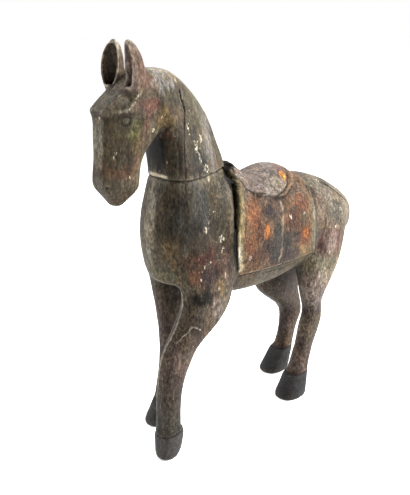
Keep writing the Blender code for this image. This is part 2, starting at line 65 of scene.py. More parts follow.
# Camera and light
CAMERA_PLACE = (0.75451, -0.75162, 0.62171)
CAMERA_AZIMUTH = math.radians(48.34)
CAMERA_TILT = math.radians(18.0)
CAMERA_LENS = 50.909
SENSOR = 36.0
SKY_SIDES = 1.15
SKY_FRONT = 0.04
FLOOR_GLOW = 0.48          # the pale table shines a little, as a lit sheet of paper does
FLOOR_SIZE = 40.0
HORSE_MIDDLE = 0.3         # the height that the lights aim at
SOFTBOXES = {              # azimuth round the horse in degrees, height, distance, size, power
    "light_right": (126, 1.0, 1.6, 0.8, 84),
    "light_left": (-60, 0.9, 1.6, 0.8, 28),
    "light_back": (215, 1.7, 1.2, 0.9, 28),
    "light_top": (120, 2.0, 0.7, 0.9, 34),
}

# Edges of the saddle cloth, of the groove in front of it and of the joint in the neck
CLOTH_FRONT = -0.026
CLOTH_BACK = 0.146
CLOTH_HEM = 0.259
EDGE_HEIGHTS = (0.259, 0.27, 0.285, 0.305, 0.325, 0.342, 0.36, 0.376, 0.389, 0.401, 0.407, 0.412, 0.416)
EDGE_LEANS = (
    0.012, 0.009, 0.005, 0.0015, 0.001, 0.003, 0.007,
    0.012, 0.016, 0.0185, 0.0215, 0.0265, 0.0335,
)                          # how far back the cloth's front edge lies, at those heights
REAR_LEAN = 0.045
LEAN_START = 0.35
LEAN_SPAN = 0.075
LEAN_LIMIT = 0.9
HEM_CURL = 0.012
HEM_CURL_START = 0.31
GROOVE_WIDTH = 0.0105
GROOVE_HEIGHTS = (0.334, 0.342, 0.36, 0.376, 0.389, 0.401, 0.412, 0.416)
GROOVE_SHARES = (0.45, 0.54, 0.72, 0.95, 1.0, 0.8, 0.55, 0.38)     # of its width, at those heights
SEAM_HEIGHT = 0.416
NECK_FRONT = -0.135        # the joint lies behind this; the muzzle, at the same height, lies before it
JOINT_REACH = 0.003
JOINT_CLOSE = 0.0004       # each flat face of the joint comes out this far, so no light passes

# Hooves: side, middle of the coronet along y
HOOVES = ((1, -0.1392), (-1, -0.0755), (1, 0.143), (-1, 0.199))
HOOF_REACH = 0.046
CORONET_HEIGHT = 0.043
CORONET_TILT = 0.16

# Paints and woods, as seen in even light
COLOURS = {
    "umber": (0.31, 0.275, 0.205),
    "dark": (0.18, 0.152, 0.118),
    "black": (0.055, 0.048, 0.045),
    "brown": (0.36, 0.3, 0.25),
    "taupe": (0.4, 0.37, 0.31),
    "olive": (0.43, 0.405, 0.3),
    "moss": (0.5, 0.5, 0.33),
    "sage": (0.54, 0.52, 0.43),
    "stone": (0.67, 0.635, 0.56),
    "slate": (0.245, 0.245, 0.232),
    "cloud": (0.64, 0.625, 0.61),
    "charcoal": (0.215, 0.225, 0.245),
    "rust": (0.48, 0.285, 0.185),
    "orange": (0.68, 0.4, 0.21),
    "gold": (0.93, 0.62, 0.26),
    "ochre": (0.51, 0.42, 0.28),
    "maroon": (0.3, 0.175, 0.145),
    "rose": (0.72, 0.63, 0.59),
    "plum": (0.225, 0.172, 0.18),
    "mauve": (0.4, 0.34, 0.325),
    "rosewood": (0.48, 0.345, 0.315),
    "ash": (0.61, 0.56, 0.53),
    "leather": (0.46, 0.345, 0.25),
    "straw": (0.86, 0.81, 0.56),
    "tan": (0.48, 0.405, 0.345),
    "cream": (1.0, 0.96, 0.86),
}
GROUND = (0.64, 0.6, 0.52)       # bare ground in fresh chips
FLECK = (0.48, 0.4, 0.27)        # fine flecks of older paint
VARNISH = (0.3, 0.285, 0.27)     # what old yellowed varnish leaves of the red, green and blue
MASKS = ("chips", "flecks", "ridge", "hollow_shade", "figure")   # what each vertex keeps beside its tint


# ---- small mathematics

def rise(value, low, high):
    """0 up to low, 1 from high, and a smooth rise between."""
    share = np.clip((value - low) / (high - low), 0.0, 1.0)
    return share * share * (3.0 - 2.0 * share)


def fall(value, low, high):
    """1 up to low, 0 from high, and a smooth fall between."""
    return 1.0 - rise(value, low, high)


def bell(value, width):
    """1 where the value is 0, fading out on both sides of it over the width."""
    return np.exp(-(value / width) ** 2)


def linear(colour):
    """A seen colour as linear light."""
    seen = np.asarray(colour, float)
    return np.where(seen <= 0.04045, seen / 12.92, ((seen + 0.055) / 1.055) ** 2.4)


def lattice_value(cell, seed):
    """A repeatable value from -1 to 1 for each whole-number point."""
    mixed = cell[:, 0] * np.uint32(73856093)
    mixed ^= cell[:, 1] * np.uint32(19349663)
    mixed ^= cell[:, 2] * np.uint32(83492791)
    mixed ^= np.uint32(seed * 9781 + 40503)
    mixed ^= mixed >> np.uint32(15)
    mixed *= np.uint32(2246822519)
    mixed ^= mixed >> np.uint32(13)
    mixed *= np.uint32(3266489917)
    mixed ^= mixed >> np.uint32(16)
    return mixed.astype(float) / 2147483647.5 - 1.0


def noise(points, scale, seed):
    """Smooth noise from -1 to 1. The scale is in cells per metre along x, y and z."""
    place = points * np.asarray(scale, float) + 1000.0
    floor = np.floor(place)
    share = place - floor
    share = share * share * (3.0 - 2.0 * share)
    cell = floor.astype(np.uint32)
    total = np.zeros(len(points))
    for corner in range(8):
        step = np.array([corner & 1, (corner >> 1) & 1, corner >> 2], np.uint32)
        weight = np.where(step, share, 1.0 - share).prod(axis=1)
        total += weight * lattice_value(cell + step, seed)
    return total


def layered_noise(points, scale, seed, layers=3):
    """Noise with finer, weaker noise added, still about -1 to 1."""
    total = np.zeros(len(points))
    size = np.asarray(scale, float)
    share = 0.62
    for layer in range(layers):
        total += share * noise(points, size * 2.1 ** layer, seed + 17 * layer)
        share *= 0.5
    return total


def path_distance(points, path):
    """Each point's distance from a line through the path's places, and the share of the line there."""
    corners = np.asarray(path, float)
    lengths = np.linalg.norm(np.diff(corners, axis=0), axis=1)
    starts = np.concatenate([[0.0], np.cumsum(lengths)])
    best = np.full(len(points), 1.0)
    share = np.zeros(len(points))
    for index, length in enumerate(lengths):
        if length == 0.0:
            continue
        way = (corners[index + 1] - corners[index]) / length
        along = np.clip((points - corners[index]) @ way, 0.0, length)
        gap = np.linalg.norm(points - corners[index] - along[:, None] * way, axis=1)
        nearer = gap < best
        best[nearer] = gap[nearer]
        share[nearer] = (starts[index] + along[nearer]) / starts[-1]
    return best, share


def nearest_place(points, place):
    """The point nearest to a place: marks are given as places, and this brings them onto the surface."""
    gap = ((points - np.asarray(place)) ** 2).sum(axis=1)
    return points[int(np.argmin(gap))]


def surface_path(points, path):
    """The path cut into short steps, each brought onto the surface."""
    steps = []
    for first, second in zip(path[:-1], path[1:]):
        first, second = np.asarray(first), np.asarray(second)
        count = max(1, int(np.linalg.norm(second - first) / PATH_STEP))
        steps += [first + (second - first) * index / count for index in range(count)]
    steps.append(np.asarray(path[-1]))
    return [nearest_place(points, step) for step in steps]


def distance_from(points, place):
    """Each point's distance from the surface's point at a place."""
    return np.linalg.norm(points - nearest_place(points, place), axis=1)


def line_and_share(points, path, width, seed, ragged, wander=0.0):
    """1 on the path, fading out at a width that varies by the ragged share; and how far along the path."""
    moved = points
    if wander:
        moved = points + wander * noise(points, (170, 170, 170), seed + 3)[:, None]
    distance, share = path_distance(moved, surface_path(points, path))
    return bell(distance, width * (1.0 + ragged * noise(points, (420, 420, 420), seed))), share


def line_mark(*line):
    """1 on the path, fading out at the width."""
    return line_and_share(*line)[0]


def spot_mark(points, centre, radii, seed, ragged=0.35):
    """1 inside an oval, fading to 0 at its ragged edge."""
    middle = nearest_place(points, centre)
    reach = np.linalg.norm((points - middle) / np.asarray(radii), axis=1)
    reach = reach + ragged * layered_noise(points, (260, 260, 90), seed, 2)
    return fall(reach, 0.62, 1.12)


def both_sides(points):
    """The same points, all brought to the horse's left side."""
    folded = points.copy()
    folded[:, 0] = np.abs(folded[:, 0])
    return folded


# ---- mesh tools

def read_rows(items, name, width, kind=np.float32):
    """What a mesh's vertices or edges keep under a name, one row for each."""
    flat = np.empty(len(items) * width, kind)
    items.foreach_get(name, flat)
    return flat.reshape(-1, width)


def read_places(mesh):
    """The mesh's vertices in the horse's stance."""
    places = read_rows(mesh.vertices, "co", 3).astype(float)
    places[:, 1] += LENGTH_MIDDLE
    return places


def write_places(mesh, places):
    """Puts places in the horse's stance back into the mesh."""
    moved = places.copy()
    moved[:, 1] -= LENGTH_MIDDLE
    mesh.vertices.foreach_set("co", moved.astype(np.float32).ravel())
    mesh.update()


def read_normals(mesh):
    return read_rows(mesh.vertices, "normal", 3).astype(float)


def read_edges(mesh):
    return read_rows(mesh.edges, "vertices", 2, np.int32)


def edge_mean(values, edges, weights):
    """For each vertex, the weighted mean of what its neighbours have."""
    count = len(values)
    first, second = edges[:, 0], edges[:, 1]
    share = np.bincount(first, weights, count) + np.bincount(second, weights, count)
    share = np.maximum(share, 1e-9)
    mean = np.empty_like(values)
    for axis in range(values.shape[1]):
        column = values[:, axis]
        total = np.bincount(first, weights * column[second], count)
        total += np.bincount(second, weights * column[first], count)
        mean[:, axis] = total / share
    return mean


def relax(mesh, rounds):
    """Smooths away the facets of the plain solid, and leaves its sharp carved edges."""
    edges = read_edges(mesh)
    for _ in range(rounds):
        places = read_places(mesh)
        normals = read_normals(mesh)
        turn = 1.0 - (normals[edges[:, 0]] * normals[edges[:, 1]]).sum(axis=1)
        weights = np.exp(-turn / (1.0 - math.cos(CREASE_ANGLE))) + 1e-4
        mean = edge_mean(places, edges, weights)
        step = RELAX_STEP * (1.0 - held_area(places))
        write_places(mesh, places + step[:, None] * (mean - places))


def held_area(points):
    """1 where the shape is too small or too crisp to be relaxed: the ear tips and the neck joint."""
    tips = 0.85 * rise(points[:, 2], 0.572, 0.588)
    joint = fall(np.abs(points[:, 2] - SEAM_HEIGHT), 0.0015, 0.005)
    return np.maximum(tips, joint * (points[:, 1] > NECK_FRONT))


def height_over_mean(mesh, rounds):
    """How far each vertex stands out of the surface around it, in metres."""
    edges = read_edges(mesh)
    even = np.ones(len(edges))
    places = read_places(mesh)
    mean = places
    for _ in range(rounds):
        mean = edge_mean(mean, edges, even)
    return ((places - mean) * read_normals(mesh)).sum(axis=1)


def apply_modifiers(piece):
    """The piece keeps the shape its modifiers give it, without them."""
    depsgraph = bpy.context.evaluated_depsgraph_get()
    final = bpy.data.meshes.new_from_object(piece.evaluated_get(depsgraph))
    piece.modifiers.clear()
    piece.data = final


def add_object(name, data):
    """A new object in the scene."""
    made = bpy.data.objects.new(name, data)
    bpy.context.scene.collection.objects.link(made)
    return made


def fine_copy(name, node, voxel):
    """A new piece with the node's shape as an even, fine mesh."""
    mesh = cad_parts[node].data.copy()
    mesh.materials.clear()
    shape = bmesh.new()
    shape.from_mesh(mesh)
    bmesh.ops.remove_doubles(shape, verts=shape.verts, dist=1e-5)
    shape.to_mesh(mesh)
    shape.free()
    piece = add_object(name, mesh)
    remesh = piece.modifiers.new("even", "REMESH")
    remesh.mode = "VOXEL"
    remesh.voxel_size = voxel
    apply_modifiers(piece)
    return piece


def thin_out(piece):
    """Brings the piece under the triangle limit, keeping its sharp places."""
    triangles = sum(len(face.vertices) - 2 for face in piece.data.polygons)
    decimate = piece.modifiers.new("thin", "DECIMATE")
    decimate.ratio = min(1.0, TRIANGLE_LIMIT / triangles)
    decimate.use_collapse_triangulate = True
    apply_modifiers(piece)
    piece.data.polygons.foreach_set("use_smooth", [True] * len(piece.data.polygons))
    piece.data.update()


# ---- places on the horse

def behind_front(points):
    """How far each point lies behind the front edge of the cloth."""
    return points[:, 1] - CLOTH_FRONT - np.interp(points[:, 2], EDGE_HEIGHTS, EDGE_LEANS)


def before_rear(points):
    """How far each point lies before the rear edge of the cloth."""
    lean = np.clip((points[:, 2] - LEAN_START) / LEAN_SPAN, 0.0, LEAN_LIMIT)
    drop = np.clip((HEM_CURL_START - points[:, 2]) / (HEM_CURL_START - CLOTH_HEM), 0.0, 1.0)
    return CLOTH_BACK + REAR_LEAN * lean ** 2 + HEM_CURL * drop ** 1.5 - points[:, 1]


def inside_cloth(points):
    """How far each point lies from the front and rear edges of the cloth, over 0 between them."""
    return np.minimum(behind_front(points), before_rear(points))


def cloth_area(points):
    """1 on the saddle cloth, 0 off it."""
    return rise(np.minimum(inside_cloth(points), points[:, 2] - CLOTH_HEM), -0.0005, 0.001)


def groove_shade_area(points):
    """1 in the groove in front of the cloth, which is painted black there as painted shade."""
    back = behind_front(points)
    width = GROOVE_WIDTH * np.interp(points[:, 2], GROOVE_HEIGHTS, GROOVE_SHARES)
    inside = np.minimum(-back, back + width)
    high = rise(points[:, 2], CLOTH_HEM + 0.004, CLOTH_HEM + 0.012)
    return rise(inside, -0.0016, 0.0002) * high


def groove_wall_shade(points):
    """1 on the steep wall of the cloth at the withers, painted black as the groove's painted shade."""
    back = behind_front(points)
    wall = rise(np.minimum(0.0042 - back, back + 0.012), 0.0, 0.0015)
    return wall * rise(points[:, 2], 0.382, 0.392)


def cloth_edge(points, place, width):
    """1 along the front edge of the cloth, at a distance behind it."""
    ragged = 0.0005 * layered_noise(points, (160, 160, 90), 57, 2)
    mark = bell(behind_front(points) - place - ragged, width)
    return mark * rise(points[:, 2], CLOTH_HEM + 0.002, CLOTH_HEM + 0.01)


def low_strip(points):
    """1 on the lower half of the cloth's front strip, where its pale paint is left."""
    return fall(points[:, 2], 0.285, 0.345)


def below_withers(points):
    """1 on the upright part of the cloth's front strip, 0 where it leans over the withers."""
    return fall(points[:, 2], 0.355, 0.385)


def hem_gap(points):
    """Height over the ragged lower hem of the cloth, where there is cloth; elsewhere a large number."""
    ragged = 0.0009 * layered_noise(points, (110, 110, 110), 58, 2)
    return np.where(inside_cloth(points) > 0.0, points[:, 2] - CLOTH_HEM - ragged, 1.0)


SADDLE_EDGE = (
    (0.012, 0.004, 0.425), (0.025, 0.003, 0.415), (0.038, 0.002, 0.402), (0.05, 0.007, 0.387),
    (0.055, 0.019, 0.381), (0.056, 0.032, 0.375), (0.056, 0.046, 0.371), (0.057, 0.066, 0.37),
    (0.054, 0.083, 0.373), (0.049, 0.097, 0.381), (0.038, 0.107, 0.392), (0.016, 0.12, 0.401),
    (0.0, 0.124, 0.404),
)


def saddle_area(points):
    """1 on the saddle, 0 on the cloth under it."""
    rows = np.asarray(SADDLE_EDGE)
    edge = np.interp(points[:, 1], rows[1:, 1], rows[1:, 2], left=1.0, right=1.0)
    return rise(points[:, 2] - edge, -0.0008, 0.001)


def over_coronet(points):
    """Height over the sloping top of the hoof that each point is near; elsewhere a large number."""
    height = np.full(len(points), 1.0)
    for side, middle in HOOVES:
        near = (points[:, 0] * side > 0) & (np.abs(points[:, 1] - middle) < HOOF_REACH)
        coronet = CORONET_HEIGHT + CORONET_TILT * (points[:, 1] - middle)
        height = np.where(near, points[:, 2] - coronet, height)
    return height


def hoof_area(points):
    """1 on the hooves below the coronet."""
    return rise(-over_coronet(points), -0.0008, 0.0008)


def coronet_mark(points):
    """1 on the line round the top of each hoof."""
    return bell(over_coronet(points) - 0.0006, 0.0011)


# Head and neck lines, left side
BROW = (
    (0.0, -0.2125, 0.515), (0.018, -0.212, 0.5135), (0.025, -0.198, 0.5125), (0.03, -0.184, 0.515),
    (0.031, -0.176, 0.524), (0.034, -0.17, 0.534),
)
UNDER_BROW = (
    (0.0, -0.213, 0.506), (0.018, -0.211, 0.505), (0.026, -0.195, 0.5055), (0.031, -0.18, 0.508),
)
EYE = (0.0245, -0.185, 0.501)
EYE_RADIUS = 0.0062
NOSTRIL = (0.0165, -0.214, 0.4165)
CHEEK = ((0.033, -0.15, 0.505), (0.033, -0.141, 0.49), (0.03, -0.147, 0.474), (0.026, -0.16, 0.462))
NECK_CRACK = (
    (0.028, -0.1, 0.533), (0.031, -0.1, 0.523), (0.035, -0.096, 0.508), (0.04, -0.102, 0.493),
    (0.044, -0.106, 0.476), (0.047, -0.109, 0.45), (0.049, -0.109, 0.42),
)
JAW_BAND = ((0.034, -0.152, 0.506), (0.029, -0.164, 0.481), (0.028, -0.168, 0.464), (0.024, -0.174, 0.442))
JAW_SHADE = ((0.029, -0.147, 0.475), (0.027, -0.129, 0.478), (0.036, -0.127, 0.487), (0.04, -0.121, 0.491))
EAR_ROOT_SHADE = ((0.021, -0.175, 0.542), (0.033, -0.177, 0.538), (0.035, -0.172, 0.535))

# Body lines, left side
CHEST_CRACK = ((0.05, -0.111, 0.415), (0.052, -0.11, 0.39), (0.0535, -0.108, 0.372))
CLOTH_MIDDLE = ((0.055, 0.072, 0.371), (0.061, 0.074, 0.35), (0.069, 0.066, 0.323), (0.068, 0.063, 0.266))
CLOTH_REAR = ((0.056, 0.15, 0.352), (0.066, 0.144, 0.329), (0.066, 0.147, 0.28), (0.06, 0.158, 0.247))
HEM_CRACK = ((0.066, 0.073, 0.272), (0.067, 0.0755, 0.264), (0.065, 0.072, 0.254))
BELLY_CRACK = (
    (0.0575, 0.036, 0.25), (0.0576, 0.046, 0.2525), (0.0575, 0.054, 0.2495), (0.057, 0.07, 0.2505),
    (0.0565, 0.086, 0.248), (0.0556, 0.103, 0.25), (0.054, 0.114, 0.249),
)
RUMP_CRACK = (
    (0.034, 0.186, 0.37), (0.037, 0.203, 0.362), (0.041, 0.221, 0.351), (0.042, 0.241, 0.338),
    (0.041, 0.256, 0.327),
)
RUMP_NOTCH = ((0.046, 0.148, 0.372), (0.052, 0.146, 0.362))
LEG_SCRATCH = (
    (0.052, -0.131, 0.186), (0.056, -0.122, 0.194), (0.06, -0.113, 0.201), (0.061, -0.109, 0.206),
    (0.064, -0.103, 0.204), (0.066, -0.098, 0.201),
)
# The arris of the near front leg, raised a little and painted as a highlight
LEG_ARRIS_HIGHLIGHT = (
    (0.036, -0.106, 0.252), (0.039, -0.108, 0.241), (0.04, -0.118, 0.208), (0.038, -0.13, 0.19),
    (0.034, -0.15, 0.15), (0.031, -0.156, 0.12), (0.028, -0.158, 0.08),
)


def seam_mark(points, width, seed):
    """1 at the ragged edges of the joint between the neck and the body."""
    chips = rise(layered_noise(points, (150, 150, 60), seed, 2), -0.35, 0.55)
    line = bell(points[:, 2] - SEAM_HEIGHT, width * (0.45 + 0.9 * chips))
    return line * (0.35 + 0.65 * chips) * (points[:, 1] > NECK_FRONT)


def seam_shadow(points, seed):
    """How dark the open joint looks, 0 to 1."""
    return np.minimum(1.0, 2.8 * seam_mark(points, 0.0017, seed))


# ---- carving

def tool_marks(points, seed):
    """The low facets of the chisel and the fine upright grain, in metres."""
    facets = 0.00034 * layered_noise(points, (52, 52, 26), seed, 2)
    hollows = noise(points, (120, 120, 60), seed + 5)
    facets -= 0.00022 * rise(hollows, 0.25, 0.75)
    grain = 0.0001 * noise(points, (330, 330, 26), seed + 7)
    grain += 0.00007 * noise(points, (560, 560, 60), seed + 9)
    return facets + grain


# Lines raised on the surface or cut into it: path, width, height, seed, how ragged, how far it wanders
HEAD_LINES = (
    (BROW, 0.0032, 0.0007, 21, 0.2, 0.0),
    (UNDER_BROW, 0.0046, -0.0007, 22, 0.2, 0.0),
    (CHEEK, 0.003, -0.0006, 24, 0.2, 0.0),
)
BOTH_SIDES_LINES = (
    (SADDLE_EDGE, 0.0012, -0.0009, 42, 0.3, 0.0005),
    (CLOTH_MIDDLE, 0.0012, 0.00035, 43, 0.3, 0.0006),
    (CLOTH_REAR, 0.0013, 0.0003, 44, 0.3, 0.0006),
    (HEM_CRACK, 0.001, -0.001, 47, 0.4, 0.0),
    (BELLY_CRACK, 0.0014, -0.0007, 59, 0.5, 0.0014),
)
LEFT_SIDE_LINES = (
    (RUMP_CRACK, 0.0012, -0.001, 45, 0.4, 0.0008),
    (RUMP_NOTCH, 0.0016, -0.0014, 46, 0.4, 0.0),
    (CHEST_CRACK, 0.0008, -0.0004, 48, 0.4, 0.0005),
    (LEG_SCRATCH, 0.0008, -0.0003, 49, 0.3, 0.0005),
    (LEG_ARRIS_HIGHLIGHT, 0.0024, 0.0006, 50, 0.15, 0.0),
)


def line_heights(points, lines):
    """Height of all these lines together, in metres."""
    height = np.zeros(len(points))
    for path, width, lift, seed, ragged, wander in lines:
        height += lift * line_mark(points, path, width, seed, ragged, wander)
    return height


def carve_head(points):
    """Height over the plain solid, in metres, for the head and neck."""
    folded = both_sides(points)
    height = tool_marks(points, 11) + line_heights(folded, HEAD_LINES)
    eye = distance_from(folded, EYE)
    height += 0.0004 * bell(eye - EYE_RADIUS, 0.0011) + 0.0006 * fall(eye, 0.0015, 0.005)
    height -= 0.0018 * bell(distance_from(folded, NOSTRIL), 0.0015)
    crack, share = line_and_share(points, NECK_CRACK, 0.0014, 25, 0.45, 0.0007)
    height -= crack * (0.0026 - 0.0018 * rise(share, 0.3, 0.55))
    return height - 0.0011 * seam_mark(points, 0.0013, 27)


def carve_body(points):
    """Height over the plain solid, in metres, for the body with its cloth, saddle and hooves."""
    folded = both_sides(points)
    height = tool_marks(points, 41) * (1.0 - 0.6 * hoof_area(points))
    height += line_heights(folded, BOTH_SIDES_LINES) + line_heights(points, LEFT_SIDE_LINES)
    height += 0.0006 * cloth_edge(folded, 0.0016, 0.0016) - 0.001 * cloth_edge(folded, -0.0012, 0.0012)
    hem = hem_gap(folded)
    height += 0.0005 * bell(hem - 0.0014, 0.0012) - 0.0009 * bell(hem + 0.001, 0.0011)
    return height - 0.0008 * coronet_mark(points) - 0.0011 * seam_mark(points, 0.0013, 51)


def joint_face(places, normals):
    """1 on the flat faces of the joint in the neck."""
    near = (np.abs(places[:, 2] - SEAM_HEIGHT) < JOINT_REACH) & (places[:, 1] < CLOTH_FRONT)
    return rise(np.abs(normals[:, 2]), 0.7, 0.9) * near


def carve(piece, height_of):
    """Moves the piece's surface in or out along its normals; the joint's flat faces close up."""
    mesh = piece.data
    places = read_places(mesh)
    normals = read_normals(mesh)
    height = height_of(places)
    height += (JOINT_CLOSE - height) * joint_face(places, normals)
    write_places(mesh, places + height[:, None] * normals)


# ---- paint

# Worn paint, and at the throat painted shade: place, half sizes, colour, strength
HEAD_PAINT = (
    ((0.0, -0.2, 0.54), (0.05, 0.04, 0.026), "stone", 0.85),
    ((0.0, -0.214, 0.528), (0.026, 0.012, 0.014), "sage", 0.8),
    ((0.016, -0.186, 0.526), (0.018, 0.016, 0.01), "tan", 0.4),
    ((0.0, -0.217, 0.465), (0.017, 0.013, 0.06), "stone", 0.95),
    ((0.0, -0.216, 0.48), (0.016, 0.009, 0.03), "sage", 0.45),
    ((0.022, -0.202, 0.47), (0.014, 0.016, 0.056), "umber", 1.0),
    ((0.022, -0.19, 0.502), (0.016, 0.02, 0.009), "umber", 0.8),
    ((0.024, -0.182, 0.47), (0.014, 0.012, 0.034), "umber", 0.7),
    ((0.028, -0.17, 0.484), (0.012, 0.012, 0.016), "moss", 0.6),
    ((0.027, -0.168, 0.458), (0.012, 0.012, 0.016), "olive", 0.7),
    ((0.033, -0.174, 0.52), (0.012, 0.014, 0.008), "taupe", 0.8),
    ((0.033, -0.157, 0.52), (0.016, 0.019, 0.011), "rosewood", 0.75),
    ((0.035, -0.152, 0.521), (0.014, 0.012, 0.008), "rust", 0.35),
    ((0.003, -0.213, 0.512), (0.005, 0.006, 0.006), "umber", 0.8),
    ((0.0, -0.2, 0.436), (0.04, 0.04, 0.01), "umber", 0.6),
    ((0.016, -0.2, 0.434), (0.024, 0.03, 0.011), "rust", 0.32),
    ((0.0, -0.195, 0.406), (0.04, 0.044, 0.018), "umber", 0.8),
    ((0.0, -0.195, 0.398), (0.04, 0.044, 0.012), "brown", 0.6),
    ((0.031, -0.158, 0.474), (0.01, 0.007, 0.024), "brown", 0.7),
    ((0.0, -0.115, 0.562), (0.044, 0.06, 0.02), "straw", 0.25),
    ((0.0, -0.12, 0.56), (0.04, 0.05, 0.02), "stone", 0.95),
    ((0.027, -0.13, 0.547), (0.026, 0.026, 0.012), "cloud", 0.95),
    ((0.039, -0.132, 0.502), (0.014, 0.012, 0.02), "ochre", 0.8),
    ((0.038, -0.12, 0.525), (0.012, 0.012, 0.016), "umber", 0.8),
    # the next two patches are painted shade in the throat under the jaw
    ((0.0, -0.128, 0.45), (0.04, 0.012, 0.042), "dark", 1.0),
    ((0.014, -0.13, 0.45), (0.028, 0.01, 0.034), "black", 0.85),
    ((0.033, -0.126, 0.474), (0.01, 0.008, 0.01), "maroon", 0.75),
    ((0.034, -0.122, 0.446), (0.01, 0.008, 0.03), "umber", 0.9),
    ((0.046, -0.112, 0.462), (0.007, 0.008, 0.036), "dark", 0.9),
    ((0.04, -0.102, 0.49), (0.008, 0.01, 0.018), "maroon", 0.6),
    ((0.034, -0.075, 0.48), (0.03, 0.034, 0.064), "taupe", 0.85),
    ((0.044, -0.096, 0.466), (0.01, 0.008, 0.028), "umber", 0.55),
    ((0.042, -0.082, 0.48), (0.012, 0.008, 0.018), "slate", 0.6),
    ((0.023, -0.05, 0.469), (0.012, 0.012, 0.012), "ochre", 0.55),
    ((0.042, -0.082, 0.436), (0.018, 0.03, 0.024), "slate", 0.85),
    ((0.02, -0.045, 0.465), (0.03, 0.018, 0.06), "cloud", 0.5),
    ((0.046, -0.095, 0.427), (0.014, 0.022, 0.008), "plum", 0.5),
    ((0.026, -0.03, 0.424), (0.02, 0.02, 0.01), "tan", 0.7),
    ((0.0, -0.06, 0.52), (0.024, 0.04, 0.05), "sage", 0.75),
)
EAR_PAINT = (
    ((0.03, -0.17, 0.57), (0.03, 0.03, 0.06), "tan", 0.9),
    ((0.032, -0.16, 0.564), (0.02, 0.02, 0.022), "rosewood", 0.5),
)
BODY_PAINT = (
    ((0.0, -0.137, 0.34), (0.012, 0.024, 0.09), "sage", 0.9),
    ((0.014, -0.138, 0.34), (0.014, 0.016, 0.08), "taupe", 0.6),
    ((0.0, -0.134, 0.355), (0.011, 0.024, 0.07), "stone", 0.75),
    ((0.03, -0.132, 0.356), (0.018, 0.018, 0.064), "umber", 1.0),
    ((0.042, -0.124, 0.35), (0.014, 0.018, 0.066), "dark", 0.9),
    ((0.036, -0.13, 0.312), (0.018, 0.014, 0.026), "ochre", 0.55),
    ((0.03, -0.128, 0.404), (0.03, 0.02, 0.01), "umber", 0.75),
    ((0.052, -0.1, 0.378), (0.018, 0.028, 0.044), "slate", 1.0),
    ((0.05, -0.108, 0.385), (0.014, 0.014, 0.03), "dark", 0.6),
    ((0.054, -0.078, 0.362), (0.014, 0.018, 0.046), "slate", 0.95),
    ((0.046, -0.05, 0.398), (0.018, 0.022, 0.014), "taupe", 0.75),
    ((0.052, -0.056, 0.374), (0.014, 0.014, 0.03), "umber", 0.9),
    ((0.058, -0.06, 0.34), (0.014, 0.018, 0.03), "dark", 0.65),
    ((0.06, -0.037, 0.345), (0.016, 0.012, 0.07), "umber", 0.95),
    ((0.056, -0.095, 0.33), (0.014, 0.022, 0.026), "dark", 0.8),
    ((0.056, -0.11, 0.3), (0.014, 0.014, 0.018), "maroon", 0.6),
    ((0.062, -0.072, 0.29), (0.018, 0.038, 0.036), "maroon", 0.88),
    ((0.06, -0.082, 0.3), (0.014, 0.016, 0.009), "maroon", 0.75),
    ((0.06, -0.056, 0.304), (0.014, 0.01, 0.012), "umber", 0.75),
    ((0.064, -0.077, 0.276), (0.018, 0.021, 0.019), "plum", 1.0),
    ((0.066, -0.066, 0.262), (0.016, 0.012, 0.01), "plum", 0.8),
    ((0.059, -0.1, 0.274), (0.014, 0.007, 0.014), "rust", 0.55),
    ((0.065, -0.05, 0.274), (0.014, 0.006, 0.013), "tan", 0.85),
    ((0.067, -0.057, 0.256), (0.014, 0.009, 0.01), "ochre", 0.9),
    ((0.068, -0.069, 0.243), (0.014, 0.009, 0.007), "maroon", 0.85),
    ((0.068, -0.068, 0.224), (0.016, 0.013, 0.018), "ash", 0.5),
    ((0.062, -0.104, 0.25), (0.014, 0.01, 0.014), "umber", 0.8),
    ((0.0, -0.125, 0.277), (0.06, 0.022, 0.014), "olive", 0.85),
    ((0.06, -0.036, 0.262), (0.02, 0.01, 0.03), "plum", 0.6),
    ((0.055, 0.0, 0.246), (0.04, 0.04, 0.014), "maroon", 0.5),
    ((0.05, 0.07, 0.242), (0.06, 0.09, 0.014), "taupe", 0.85),
    ((0.02, 0.055, 0.22), (0.06, 0.09, 0.012), "sage", 0.7),
    ((0.045, 0.19, 0.345), (0.05, 0.06, 0.05), "sage", 0.35),
    ((0.045, 0.2, 0.345), (0.05, 0.06, 0.05), "ash", 0.32),
    ((0.03, 0.218, 0.362), (0.012, 0.044, 0.014), "slate", 0.55),
    ((0.04, 0.24, 0.33), (0.04, 0.044, 0.044), "stone", 0.6),
    ((0.0, 0.19, 0.39), (0.03, 0.08, 0.016), "tan", 0.6),
    ((0.054, 0.157, 0.352), (0.014, 0.01, 0.018), "plum", 0.75),
    ((0.06, 0.168, 0.325), (0.016, 0.014, 0.04), "tan", 0.75),
    ((0.058, 0.215, 0.316), (0.016, 0.02, 0.02), "slate", 0.55),
    ((0.05, 0.228, 0.345), (0.02, 0.022, 0.018), "tan", 0.6),
    ((0.054, 0.186, 0.356), (0.02, 0.018, 0.01), "ash", 0.5),
    ((0.066, 0.19, 0.272), (0.02, 0.036, 0.032), "rosewood", 0.65),
    ((0.063, 0.167, 0.272), (0.016, 0.008, 0.016), "maroon", 0.7),
    ((0.067, 0.194, 0.272), (0.02, 0.014, 0.024), "rose", 0.75),
    ((0.062, 0.178, 0.228), (0.024, 0.044, 0.03), "sage", 0.7),
    ((0.06, 0.158, 0.208), (0.02, 0.016, 0.014), "rosewood", 0.6),
    ((0.06, 0.176, 0.19), (0.026, 0.036, 0.04), "ash", 0.6),
    ((0.06, 0.17, 0.12), (0.024, 0.03, 0.034), "taupe", 0.7),
)
